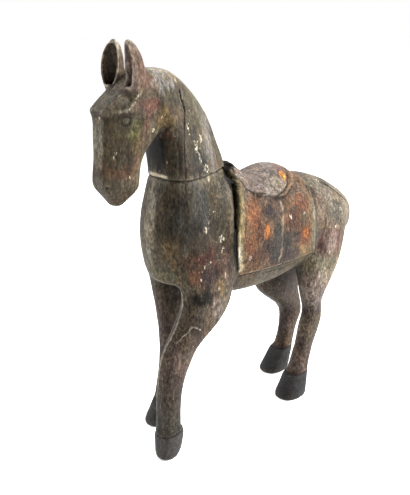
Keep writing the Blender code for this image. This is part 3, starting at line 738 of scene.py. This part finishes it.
CLOTH_PAINT = (
    ((0.056, 0.012, 0.382), (0.03, 0.018, 0.01), "tan", 0.7),
    ((0.053, 0.046, 0.367), (0.03, 0.024, 0.009), "tan", 0.85),
    ((0.063, 0.01, 0.352), (0.02, 0.018, 0.026), "orange", 0.45),
    ((0.067, 0.011, 0.338), (0.02, 0.011, 0.026), "rust", 0.75),
    ((0.068, 0.0, 0.307), (0.02, 0.012, 0.017), "rust", 0.85),
    ((0.068, 0.02, 0.288), (0.02, 0.022, 0.014), "maroon", 0.85),
    ((0.062, 0.044, 0.348), (0.02, 0.018, 0.015), "plum", 0.95),
    ((0.069, 0.019, 0.322), (0.02, 0.008, 0.017), "maroon", 0.85),
    ((0.07, 0.039, 0.301), (0.02, 0.019, 0.014), "plum", 1.0),
    ((0.07, 0.046, 0.29), (0.02, 0.014, 0.024), "plum", 0.9),
    ((0.071, 0.055, 0.305), (0.02, 0.014, 0.04), "slate", 0.95),
    ((0.062, 0.066, 0.355), (0.02, 0.008, 0.02), "mauve", 0.6),
    ((0.049, 0.116, 0.37), (0.03, 0.022, 0.016), "tan", 0.95),
    ((0.061, 0.118, 0.348), (0.02, 0.017, 0.012), "rust", 0.9),
    ((0.067, 0.094, 0.332), (0.02, 0.018, 0.017), "maroon", 0.9),
    ((0.067, 0.116, 0.328), (0.02, 0.014, 0.012), "umber", 0.8),
    ((0.069, 0.118, 0.302), (0.02, 0.018, 0.02), "rust", 0.85),
    ((0.07, 0.1, 0.302), (0.02, 0.009, 0.015), "plum", 0.9),
    ((0.071, 0.08, 0.295), (0.02, 0.015, 0.03), "slate", 0.9),
    ((0.068, 0.119, 0.276), (0.02, 0.019, 0.012), "ochre", 0.85),
    ((0.068, 0.141, 0.3), (0.02, 0.006, 0.06), "olive", 0.8),
    ((0.068, 0.08, 0.27), (0.02, 0.036, 0.013), "plum", 0.95),
)
LOZENGES = (
    ((0.069, 0.033, 0.322), (0.014, 0.0076, 0.0125)),
    ((0.07, 0.12, 0.302), (0.014, 0.0074, 0.0105)),
)
DARK_PATCH = ((0.064, -0.089, 0.246), (0.016, 0.021, 0.012))
SPECKLED = ((0.062, -0.075, 0.27), (0.03, 0.05, 0.05))
SADDLE_LOZENGE = ((0.038, 0.0985, 0.3925), (0.014, 0.0062, 0.008))
SADDLE_PAINT = (
    ((0.02, 0.05, 0.415), (0.04, 0.04, 0.024), "mauve", 0.45),
    ((0.045, 0.03, 0.392), (0.03, 0.03, 0.014), "mauve", 0.55),
    ((0.046, 0.078, 0.386), (0.026, 0.026, 0.014), "stone", 0.45),
    ((0.034, 0.09, 0.4), (0.03, 0.016, 0.01), "plum", 0.5),
    ((0.03, 0.106, 0.402), (0.03, 0.012, 0.014), "rosewood", 0.8),
    ((0.01, 0.022, 0.425), (0.03, 0.02, 0.016), "stone", 0.8),
)

# Thin pale scratches: width, then the places they run through
HEAD_SCRATCHES = (
    (0.0013, (0.035, -0.173, 0.536), (0.033, -0.171, 0.528), (0.031, -0.176, 0.522), (0.03, -0.184, 0.515)),
    (0.001, (0.02, -0.198, 0.461), (0.019, -0.201, 0.454), (0.018, -0.203, 0.45)),
    (0.0014, (0.03, -0.063, 0.47), (0.04, -0.082, 0.463), (0.045, -0.089, 0.455)),
    (0.0012, (0.037, -0.072, 0.456), (0.044, -0.081, 0.447), (0.045, -0.079, 0.438)),
    (0.0016, (0.044, -0.074, 0.435), (0.044, -0.07, 0.427), (0.04, -0.058, 0.422)),
    (0.0012, (0.038, -0.056, 0.423), (0.035, -0.053, 0.431)),
    (0.0012, (0.028, -0.086, 0.518), (0.031, -0.086, 0.506)),
)
BODY_SCRATCHES = (
    (0.0014, (0.058, -0.048, 0.331), (0.058, -0.049, 0.324), (0.058, -0.052, 0.32)),
    (0.0009, (0.058, -0.054, 0.325), (0.059, -0.063, 0.321)),
    (0.0014, (0.058, -0.048, 0.31), (0.06, -0.044, 0.303), (0.061, -0.049, 0.3)),
    (0.0011, (0.057, -0.075, 0.348), (0.058, -0.079, 0.342), (0.058, -0.083, 0.341)),
    (0.0008, (0.062, -0.086, 0.291), (0.061, -0.091, 0.285), (0.062, -0.094, 0.273), (0.062, -0.094, 0.263)),
    (0.0008, (0.061, -0.088, 0.293), (0.063, -0.078, 0.294), (0.062, -0.074, 0.297)),
    (0.001, (0.062, -0.094, 0.257), (0.065, -0.085, 0.259)),
    (0.0007, (0.063, -0.093, 0.254), (0.064, -0.094, 0.239)),
    (0.001, (0.064, -0.05, 0.282), (0.065, -0.049, 0.271), (0.066, -0.052, 0.26)),
    (0.0009, (0.067, -0.062, 0.255), (0.068, -0.069, 0.244), (0.068, -0.066, 0.238)),
    (0.0013, (0.04, -0.058, 0.415), (0.046, -0.065, 0.404)),
    (0.0009, (0.066, -0.001, 0.288), (0.066, -0.001, 0.284)),
    (0.001, (0.067, 0.084, 0.338), (0.067, 0.089, 0.33)),
)

# Places where chips show pale ground: place, half sizes, strength
HEAD_CHIPS = (
    ((0.032, -0.067, 0.468), (0.006, 0.006, 0.008), 0.9),
    ((0.042, -0.084, 0.459), (0.006, 0.006, 0.012), 0.95),
    ((0.044, -0.078, 0.442), (0.006, 0.005, 0.01), 0.85),
    ((0.041, -0.064, 0.426), (0.008, 0.01, 0.007), 1.0),
    ((0.024, -0.042, 0.42), (0.006, 0.006, 0.004), 0.7),
    ((0.04, -0.094, 0.486), (0.006, 0.005, 0.018), 0.7),
    ((0.033, -0.172, 0.53), (0.004, 0.005, 0.008), 0.7),
    ((0.019, -0.201, 0.456), (0.003, 0.004, 0.006), 0.7),
    ((0.031, -0.147, 0.486), (0.004, 0.004, 0.004), 0.9),
    ((0.027, -0.123, 0.439), (0.003, 0.003, 0.003), 1.0),
    ((0.005, -0.212, 0.504), (0.003, 0.003, 0.003), 1.0),
    ((0.038, -0.129, 0.5), (0.01, 0.01, 0.014), 0.45),
    ((0.022, -0.178, 0.43), (0.003, 0.004, 0.007), 0.6),
)
BODY_CHIPS = (
    ((0.057, -0.077, 0.353), (0.006, 0.003, 0.009), 0.8),
    ((0.058, -0.08, 0.343), (0.006, 0.004, 0.007), 0.85),
    ((0.058, -0.05, 0.326), (0.006, 0.006, 0.008), 0.95),
    ((0.059, -0.047, 0.305), (0.006, 0.006, 0.008), 0.9),
    ((0.04, -0.062, 0.409), (0.006, 0.008, 0.006), 0.9),
    ((0.066, -0.001, 0.286), (0.005, 0.004, 0.005), 1.0),
    ((0.067, 0.12, 0.334), (0.005, 0.003, 0.004), 0.9),
    ((0.068, 0.087, 0.332), (0.005, 0.005, 0.008), 0.7),
    ((0.069, 0.14, 0.318), (0.005, 0.003, 0.005), 0.8),
    ((0.069, 0.182, 0.254), (0.006, 0.007, 0.007), 0.7),
    ((0.066, 0.203, 0.296), (0.006, 0.005, 0.006), 0.85),
    ((0.061, 0.22, 0.318), (0.006, 0.007, 0.012), 0.75),
    ((0.034, 0.186, 0.371), (0.006, 0.007, 0.005), 0.9),
    ((0.062, -0.094, 0.266), (0.008, 0.012, 0.016), 0.3),
    ((0.066, -0.054, 0.262), (0.008, 0.008, 0.018), 0.45),
    ((0.058, 0.158, 0.215), (0.012, 0.022, 0.02), 0.45),
    ((0.06, -0.146, 0.073), (0.005, 0.004, 0.005), 0.7),
)


def lay_paint(tint, points, patches, seed, where=1.0):
    """Lays worn patches over the tint, with edges that run with the upright grain."""
    drift = np.column_stack([
        0.002 * noise(points, (150, 150, 40), seed),
        0.0026 * noise(points, (150, 150, 40), seed + 1),
        0.01 * noise(points, (260, 260, 22), seed + 2),
    ])
    moved = both_sides(points) + drift
    wander = 0.011 * noise(points, (16, 16, 16), seed + 3)
    moved[:, 1] += np.where(points[:, 0] < -0.012, wander, 0.0)
    rough = 0.3 * layered_noise(points, (240, 240, 60), seed + 4, 3)
    for centre, radii, colour, strength in patches:
        reach = np.linalg.norm((moved - np.asarray(centre)) / np.asarray(radii), axis=1) + rough
        cover = strength * fall(reach, 0.5, 1.25) * where
        tint += (linear(COLOURS[colour]) - tint) * cover[:, None]
    return tint


def wash(tint, *layers):
    """Mixes colours into the tint one after the other, each by its cover."""
    for colour, cover in layers:
        tint = tint + (linear(COLOURS[colour]) - tint) * cover[:, None]
    return tint


def plain_tint(points, colour):
    """One colour all over."""
    return np.tile(linear(COLOURS[colour]), (len(points), 1))


def drifted(points, tint, ridge):
    """The tint with slow drifts of warmth and depth, and lighter where hands rubbed it."""
    warm = layered_noise(points, (75, 75, 36), 95, 3)
    deep = layered_noise(points, (90, 90, 40), 97, 3)
    drift = np.column_stack([0.14 * warm, 0.01 * warm, -0.14 * warm])
    return tint * np.exp(drift + 0.34 * deep[:, None] + 0.45 * ridge[:, None])


def chip_density(points, chips, scratches, seed, ground):
    """How likely pale ground shows: 0 never, well over 1 always."""
    density = ground * (0.5 + 0.7 * layered_noise(points, (60, 60, 30), seed, 2))
    moved = both_sides(points)
    moved[:, 1] += np.where(points[:, 0] < 0, 0.012 * noise(points, (20, 20, 20), seed + 1), 0.0)
    for index, (centre, radii, strength) in enumerate(chips):
        density = np.maximum(density, strength * spot_mark(moved, centre, radii, seed + index))
    for index, (width, *path) in enumerate(scratches):
        line = line_mark(moved, path, max(0.75 * width, 0.0009), seed + index, 0.5, 0.0007)
        density = np.maximum(density, SCRATCH_DEPTH * line)
    return density


def joint_filler(points):
    """Over 0 on the pale filler left above the joint, at the front of the neck."""
    filler = rise(0.02 - np.abs(points[:, 0] - 0.006), -0.004, 0.004)
    filler = 2.0 * filler * bell(points[:, 2] - SEAM_HEIGHT - 0.0036, 0.0019)
    return filler * (np.abs(points[:, 1] + 0.112) < 0.022)


def paint_ears(tint, points, folded, facing, ridge):
    """The ears: pale edges, worn and painted as a highlight; painted light in the scoops, painted shade in
    the right one's.
    """
    ears = rise(points[:, 2], 0.532, 0.542) * rise(folded[:, 0], 0.004, 0.008)
    tint = lay_paint(tint, points, EAR_PAINT, 62, ears)
    scoop = ears * rise(facing, 0.1, 0.45)
    deep = scoop * fall(points[:, 2], 0.548, 0.58)
    right = points[:, 0] < 0.0
    return wash(
        tint,
        # painted light in both scoops, then painted shade in the right ear's scoop
        ("rose", 0.8 * scoop),
        ("umber", 0.88 * scoop * right),
        ("dark", 0.3 * deep * right),
        # the pale edges are partly wear and partly a painted highlight
        ("cream", 0.5 * ears * rise(ridge, 0.4, 0.8)),
    )


def paint_head(points, facing, ridge):
    """Tint, pale chips, ochre flecks, worn edges and strength of the grain on the head and neck."""
    folded = both_sides(points)
    tint = lay_paint(plain_tint(points, "taupe"), points, HEAD_PAINT, 61)
    tint = paint_ears(tint, points, folded, facing, ridge)
    brow, share = line_and_share(folded, BROW, 0.0016, 63, 0.4)
    eye = distance_from(folded, EYE)
    jaw = line_mark(folded, JAW_SHADE, 0.0013, 69, 0.4, 0.0005)
    root = line_mark(folded, EAR_ROOT_SHADE, 0.0018, 70, 0.3, 0.0004)
    crack, crack_share = line_and_share(points, NECK_CRACK, 0.0019, 65, 0.45, 0.0007)
    filler = joint_filler(points)
    tint = wash(
        tint,
        ("stone", 0.7 * brow * rise(share, 0.3, 0.7)),
        # painted shade under the brow ledge
        ("dark", 0.45 * line_mark(folded, UNDER_BROW, 0.0046, 64, 0.4)),
        ("sage", 0.28 * fall(eye, 0.003, 0.006)),
        ("rosewood", 0.45 * line_mark(folded, JAW_BAND, 0.0058, 68, 0.3, 0.001)),
        # painted shade in the crease under the jaw and at the root of the ears
        ("black", 0.7 * np.maximum(jaw, root)),
        ("black", 0.88 * bell(eye - EYE_RADIUS, 0.0013)),
        ("black", 0.95 * bell(distance_from(folded, NOSTRIL), 0.0017)),
        ("black", crack * (1.0 - 0.72 * rise(crack_share, 0.3, 0.6))),
        ("cream", np.minimum(1.0, 0.6 * filler)),
        ("black", seam_shadow(points, 27)),
    )
    chips = np.maximum(chip_density(points, HEAD_CHIPS, HEAD_SCRATCHES, 66, 0.26), filler)
    flecks = 0.08 + 0.22 * layered_noise(points, (45, 45, 25), 67, 2)
    return tint, chips, flecks, ridge, np.full(len(points), 0.72)


def paint_wood(points, folded, patch):
    """The legs' dark paint and the trunk's paler one, with painted shade between the legs and the dark
    patch.
    """
    mauve = rise(layered_noise(points, (50, 50, 22), 71, 2), -0.3, 0.5) * 0.8
    tint = wash(
        plain_tint(points, "brown"),
        ("mauve", mauve),
        ("plum", 0.7 * rise(noise(points, (60, 60, 24), 72), -0.1, 0.7)),
        ("slate", 0.85 * fall(points[:, 2], 0.06, 0.15) * (points[:, 1] < 0.0)),
        ("taupe", rise(points[:, 2], 0.19, 0.26)),
    )
    tint = lay_paint(tint, points, BODY_PAINT, 73)
    # painted shade: darker on the legs' facing sides, under the belly
    underside_shade = rise(0.04 - folded[:, 0], 0.0, 0.012) * rise(0.262 - points[:, 2], 0.0, 0.02)
    underside_shade = 0.5 * underside_shade * rise(points[:, 2], 0.05, 0.12)
    return wash(tint, ("dark", underside_shade), ("black", 0.92 * patch))


def paint_cloth(tint, points, folded, cloth, saddle):
    """The saddle cloth with its lozenges, and the saddle on it."""
    tint = wash(tint, ("leather", 0.9 * cloth))
    tint = lay_paint(tint, points, CLOTH_PAINT, 75, cloth)
    for centre, radii in LOZENGES:
        tint = wash(
            tint,
            ("orange", 0.88 * cloth * spot_mark(folded, centre, radii, 76, 0.2)),
            ("gold", 0.14 * cloth * spot_mark(folded, centre, np.array(radii) * 0.7, 77)),
        )
    tint = wash(tint, ("ash", 0.9 * saddle))
    tint = lay_paint(tint, points, SADDLE_PAINT, 78, saddle)
    return wash(tint, ("gold", 0.8 * saddle * spot_mark(folded, *SADDLE_LOZENGE, 79, 0.2)))


def paint_edges(tint, points, folded, saddle):
    """The worn edges of the cloth, painted shade under its hem, and the dark line under the saddle."""
    hem = hem_gap(folded)
    worn = rise(layered_noise(points, (70, 70, 40), 92, 2), -0.3, 0.45)
    return wash(
        tint,
        ("stone", 0.65 * line_mark(folded, CLOTH_MIDDLE, 0.0016, 80, 0.4, 0.0006)),
        ("stone", 0.8 * line_mark(folded, CLOTH_REAR, 0.0017, 81, 0.4, 0.0006)),
        ("stone", 0.7 * worn * bell(hem - 0.0016, 0.0012)),
        # painted shade under the cloth's hem
        ("black", 0.8 * bell(hem + 0.0012, 0.0011)),
        ("moss", 0.7 * cloth_edge(folded, 0.0038, 0.0044) * (1.0 - saddle)),
        ("straw", 0.26 * cloth_edge(folded, 0.006, 0.0036) * below_withers(folded)),
        ("cream", 0.75 * cloth_edge(folded, 0.004, 0.003) * low_strip(folded)),
        ("black", 0.9 * line_mark(folded, SADDLE_EDGE, 0.0014, 82, 0.4, 0.0005)),
    )


def dark_cracks(points, folded, rump):
    """1 in the cracks of the body, the rump's one among them."""
    belly, share = line_and_share(folded, BELLY_CRACK, 0.0016, 93, 0.5, 0.0014)
    return np.maximum.reduce([
        rump,
        line_mark(points, RUMP_NOTCH, 0.0018, 84, 0.4),
        line_mark(folded, HEM_CRACK, 0.0011, 85, 0.4),
        0.5 * line_mark(points, CHEST_CRACK, 0.0008, 86, 0.4, 0.0005),
        0.8 * (belly * rise(share, 0.0, 0.2)),
    ])


def paint_body(points, _, ridge):
    """Tint, pale chips, ochre flecks, worn edges and strength of the grain on the body."""
    folded = both_sides(points)
    cloth = cloth_area(folded)
    saddle = saddle_area(folded) * cloth
    patch = spot_mark(points, *DARK_PATCH, 74)
    groove = np.maximum(groove_shade_area(folded), 0.9 * groove_wall_shade(folded))
    rump = line_mark(points, RUMP_CRACK, 0.0034, 83, 0.6, 0.001)
    hooves = hoof_area(points)
    tint = paint_wood(points, folded, patch)
    tint = paint_cloth(tint, points, folded, cloth, saddle)
    tint = paint_edges(tint, points, folded, saddle)
    tint = wash(
        tint,
        # painted shade: the groove and the cloth's wall beside it painted black
        ("black", groove),
        ("black", 0.85 * dark_cracks(points, folded, rump)),
        ("cream", 0.8 * line_mark(points, LEG_SCRATCH, 0.0008, 87, 0.3, 0.0004)),
        # painted highlight along the arris of the near front leg
        ("cream", 0.45 * line_mark(points, LEG_ARRIS_HIGHLIGHT, 0.0015, 88, 0.3)),
        ("charcoal", 0.95 * hooves),
        ("cloud", 0.16 * hooves * (points[:, 1] < -0.1)),
        ("black", 0.5 * coronet_mark(points)),
        ("black", seam_shadow(points, 51)),
    )
    ridge = ridge * (1.0 - 0.7 * hooves) * (1.0 - np.maximum(groove, rump))
    chips = chip_density(points, BODY_CHIPS, BODY_SCRATCHES, 89, 0.3)
    chips = chips * (1.0 - 0.85 * hooves) * (1.0 - groove)
    flecks = 0.12 + 0.26 * layered_noise(points, (45, 45, 25), 90, 2) - 0.5 * patch
    flecks = flecks + 0.28 * cloth + 0.24 * spot_mark(folded, *SPECKLED, 91)
    flecks = flecks * (1.0 - 0.8 * hooves) * (1.0 - groove)
    return tint, chips, flecks, ridge, 0.92 - 0.5 * hooves


def paint(piece, paint_of):
    """Works out the worn paint, with its painted shade and highlights, at every vertex and keeps it in the
    mesh.
    """
    mesh = piece.data
    points = read_places(mesh)
    fine = height_over_mean(mesh, 4)
    broad = height_over_mean(mesh, 24)
    spread = np.std(fine) + 1e-9
    wide = np.std(broad) + 1e-9
    ridge = np.clip(0.34 * fine / spread + 0.3 * broad / wide - 0.12, 0.0, 1.0)
    # painted shade: how far each vertex lies in a recess, darkened towards black in the material
    hollow_shade = np.clip(-0.3 * fine / spread - 0.14 * broad / wide - 0.08, 0.0, 1.0)
    tint, chips, flecks, ridge, figure = paint_of(points, -read_normals(mesh)[:, 1], ridge)
    colours = np.ones((len(points), 4), np.float32)
    colours[:, :3] = np.clip(drifted(points, tint, ridge) * VARNISH, 0.0, 1.0)
    layer = mesh.color_attributes.new("tint", "FLOAT_COLOR", "POINT")
    layer.data.foreach_set("color", colours.ravel())
    chips = np.clip(chips, 0.0, SCRATCH_DEPTH)
    flecks = np.clip(flecks, 0.0, 1.0)
    for name, values in zip(MASKS, (chips, flecks, ridge, hollow_shade, figure)):
        layer = mesh.attributes.new(name, "FLOAT", "POINT")
        layer.data.foreach_set("value", values.astype(np.float32))


# ---- material

def new_material(name):
    """A material, its node tree and its shader."""
    material = bpy.data.materials.new(name)
    material.use_nodes = True
    return material, material.node_tree, material.node_tree.nodes["Principled BSDF"]


def feed(tree, node, inputs):
    """Gives each of the node's inputs a value, or a link from a socket."""
    for name, value in inputs.items():
        if isinstance(value, bpy.types.NodeSocket):
            tree.links.new(value, node.inputs[name])
        else:
            node.inputs[name].default_value = value


def add_node(tree, kind, settings=None, inputs=None):
    """A new node with its settings and its inputs."""
    made = tree.nodes.new(kind)
    for name, value in (settings or {}).items():
        setattr(made, name, value)
    feed(tree, made, inputs or {})
    return made


def stretched_noise(tree, coordinates, stretch, scale, detail, roughness):
    """Noise whose cells are stretched along z by a share of their width."""
    mapping = add_node(tree, "ShaderNodeMapping", None, {"Vector": coordinates, "Scale": (1, 1, stretch)})
    return add_node(tree, "ShaderNodeTexNoise", None, {
        "Vector": mapping.outputs["Vector"], "Scale": scale, "Detail": detail, "Roughness": roughness})


def remap(tree, value, low, high, to_low, to_high, smooth=False):
    """The value's range low to high brought to another one, and held at its ends."""
    kind = {"interpolation_type": "SMOOTHSTEP" if smooth else "LINEAR"}
    made = add_node(tree, "ShaderNodeMapRange", kind, {
        "Value": value, "From Min": low, "From Max": high, "To Min": to_low, "To Max": to_high})
    return made.outputs["Result"]


def maths(tree, operation, first, second):
    made = add_node(tree, "ShaderNodeMath", {"operation": operation}, {0: first, 1: second})
    return made.outputs["Value"]


def mix(tree, factor, first, second, blend="MIX"):
    """Two colours mixed by a factor."""
    settings = {"data_type": "RGBA", "blend_type": blend}
    made = add_node(tree, "ShaderNodeMix", settings, {0: factor, 6: first, 7: second})
    return made.outputs[2]


def grey(tree, value):
    """A value as a grey colour."""
    made = add_node(tree, "ShaderNodeCombineColor", None, {"Red": value, "Green": value, "Blue": value})
    return made.outputs["Color"]


def paint_colour(name):
    """A paint from the palette under varnish, as a shader colour."""
    return shader_colour(linear(COLOURS[name]) * VARNISH)


def shader_colour(light):
    return tuple(float(part) for part in light) + (1.0,)


def read_masks(tree):
    """What paint() kept at the vertices: the tint and the masks."""
    sockets = [("tint", "Color")] + [(name, "Fac") for name in MASKS]
    return [add_node(tree, "ShaderNodeAttribute", {"attribute_name": name}).outputs[output]
            for name, output in sockets]


def add_finish(tree, shader, grain, bands, speckle, chip_mask):
    """A wax sheen that the chips break, and the low relief of the grain."""
    times, plus = partial(maths, tree, "MULTIPLY"), partial(maths, tree, "ADD")
    rough = plus(remap(tree, bands, 0.3, 0.7, 0.46, 0.66), times(chip_mask, 0.22))
    relief = plus(times(grain, 0.75), times(speckle, 0.3))
    relief = maths(tree, "SUBTRACT", relief, times(chip_mask, 0.35))
    bump = add_node(tree, "ShaderNodeBump", None, {"Height": relief, "Strength": 0.55, "Distance": 0.0008})
    feed(tree, shader, {
        "Roughness": rough, "Normal": bump.outputs["Normal"], "IOR": 1.46, "Specular IOR Level": 0.08})


def worn_paint_material(name):
    """Old wood under thin worn paint: upright grain, rubbed edges, chips, flecks, painted shade in recesses,
    wax sheen.
    """
    material, tree, shader = new_material(name)
    place = add_node(tree, "ShaderNodeTexCoord").outputs["Object"]
    times, plus = partial(maths, tree, "MULTIPLY"), partial(maths, tree, "ADD")
    ranged, fibres, lay = partial(remap, tree), partial(stretched_noise, tree, place), partial(mix, tree)
    tint, chips, flecks, ridge, hollow_shade, figure = read_masks(tree)

    grain = fibres(0.33, 430, 5, 0.7).outputs["Fac"]
    bands = fibres(0.42, 150, 4, 0.65).outputs["Fac"]
    speckle = fibres(0.7, 620, 3, 0.7)
    blots = fibres(0.75, 230, 5, 0.72).outputs["Fac"]
    crumbs = fibres(0.45, 430, 4, 0.6).outputs["Fac"]
    dabs = fibres(0.55, 640, 3, 0.55).outputs["Fac"]

    light = times(ranged(grain, 0.37, 0.63, 0.42, 1.62), ranged(bands, 0.36, 0.64, 0.6, 1.42))
    light = times(light, ranged(blots, 0.39, 0.63, 0.42, 1.62))
    colour = lay(figure, tint, lay(1.0, tint, grey(tree, light), "MULTIPLY"))
    colour = lay(0.22, colour, speckle.outputs["Color"], "OVERLAY")

    rubbed = times(ridge, ranged(grain, 0.4, 0.6, 0.15, 1.0))
    colour = lay(times(rubbed, 0.42), colour, paint_colour("stone"))
    fleck_mask = ranged(plus(dabs, times(flecks, 0.2)), 0.715, 0.775, 0.0, 0.7, True)
    colour = lay(fleck_mask, colour, shader_colour(linear(FLECK)))
    # painted shade: recesses darkened towards black
    colour = lay(times(hollow_shade, 0.6), colour, paint_colour("black"))
    chip_mask = ranged(plus(crumbs, times(chips, 0.25)), 0.725, 0.785, 0.0, 0.85, True)
    colour = lay(chip_mask, colour, shader_colour(linear(GROUND)))
    tree.links.new(colour, shader.inputs["Base Color"])
    add_finish(tree, shader, grain, bands, speckle.outputs["Fac"], chip_mask)
    return material


# ---- pieces

def build_piece(name, node, voxel, height_of, paint_of):
    """One carved and painted piece in place of its plain solid."""
    piece = fine_copy(name, node, voxel)
    relax(piece.data, RELAX_ROUNDS)
    carve(piece, height_of)
    thin_out(piece)
    paint(piece, paint_of)
    piece.data.materials.append(worn_paint_material(name + "_paint"))
    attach(piece, "root")
    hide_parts(node)
    return piece


# ---- studio

def build_floor():
    """A plain pale floor under the hooves."""
    mesh = bpy.data.meshes.new("floor")
    shape = bmesh.new()
    bmesh.ops.create_grid(shape, x_segments=1, y_segments=1, size=FLOOR_SIZE / 2)
    shape.to_mesh(mesh)
    shape.free()
    floor = add_object("floor", mesh)
    material, tree, shader = new_material("floor_paper")
    feed(tree, shader, {
        "Base Color": (0.93, 0.93, 0.93, 1.0), "Roughness": 0.9, "Specular IOR Level": 0.1,
        "Emission Color": (1.0, 1.0, 1.0, 1.0), "Emission Strength": FLOOR_GLOW})
    mesh.materials.append(material)


def build_sky():
    """White all round, dimmer behind the camera, so that the horse's outline is brighter than its face."""
    world = bpy.data.worlds.new("studio")
    bpy.context.scene.world = world
    world.use_nodes = True
    tree = world.node_tree
    tree.nodes.clear()
    way = add_node(tree, "ShaderNodeTexCoord").outputs["Generated"]
    front = (math.sin(CAMERA_AZIMUTH), -math.cos(CAMERA_AZIMUTH), -0.3)
    facing = add_node(tree, "ShaderNodeVectorMath", {"operation": "DOT_PRODUCT"}, {0: way, 1: front})
    strength = remap(tree, facing.outputs["Value"], -0.8, 0.25, SKY_SIDES, SKY_FRONT, True)
    studio = add_node(tree, "ShaderNodeBackground", None, {"Color": (1, 1, 1, 1), "Strength": strength})
    paper = add_node(tree, "ShaderNodeBackground", None, {"Color": (1, 1, 1, 1), "Strength": 1.0})
    seen = add_node(tree, "ShaderNodeLightPath").outputs["Is Camera Ray"]
    both = add_node(tree, "ShaderNodeMixShader", None, {
        0: seen, 1: studio.outputs["Background"], 2: paper.outputs["Background"]})
    output = add_node(tree, "ShaderNodeOutputWorld")
    tree.links.new(both.outputs["Shader"], output.inputs["Surface"])


def add_softbox(name, azimuth, height, distance, size, power):
    """A square soft light at an azimuth round the horse, aimed at its middle."""
    data = bpy.data.lights.new(name, "AREA")
    data.size = size
    data.energy = power
    light = add_object(name, data)
    turn = math.radians(azimuth)
    light.location = (distance * math.sin(turn), -distance * math.cos(turn), height)
    fall_angle = math.atan2(height - HORSE_MIDDLE, distance)
    light.rotation_euler = (math.pi / 2 - fall_angle, 0.0, turn)


def build_camera():
    data = bpy.data.cameras.new("camera")
    data.lens = CAMERA_LENS
    data.sensor_width = SENSOR
    camera = add_object("camera", data)
    camera.location = CAMERA_PLACE
    camera.rotation_euler = (math.pi / 2 - CAMERA_TILT, 0.0, CAMERA_AZIMUTH)
    bpy.context.scene.camera = camera


def build_studio():
    build_floor()
    build_sky()
    for name, settings in SOFTBOXES.items():
        add_softbox(name, *settings)
    bpy.context.scene.view_settings.view_transform = "Standard"
    build_camera()


build_piece("horse_body", "body", BODY_VOXEL, carve_body, paint_body)
build_piece("horse_head_neck", "head_neck", HEAD_VOXEL, carve_head, paint_head)
build_studio()
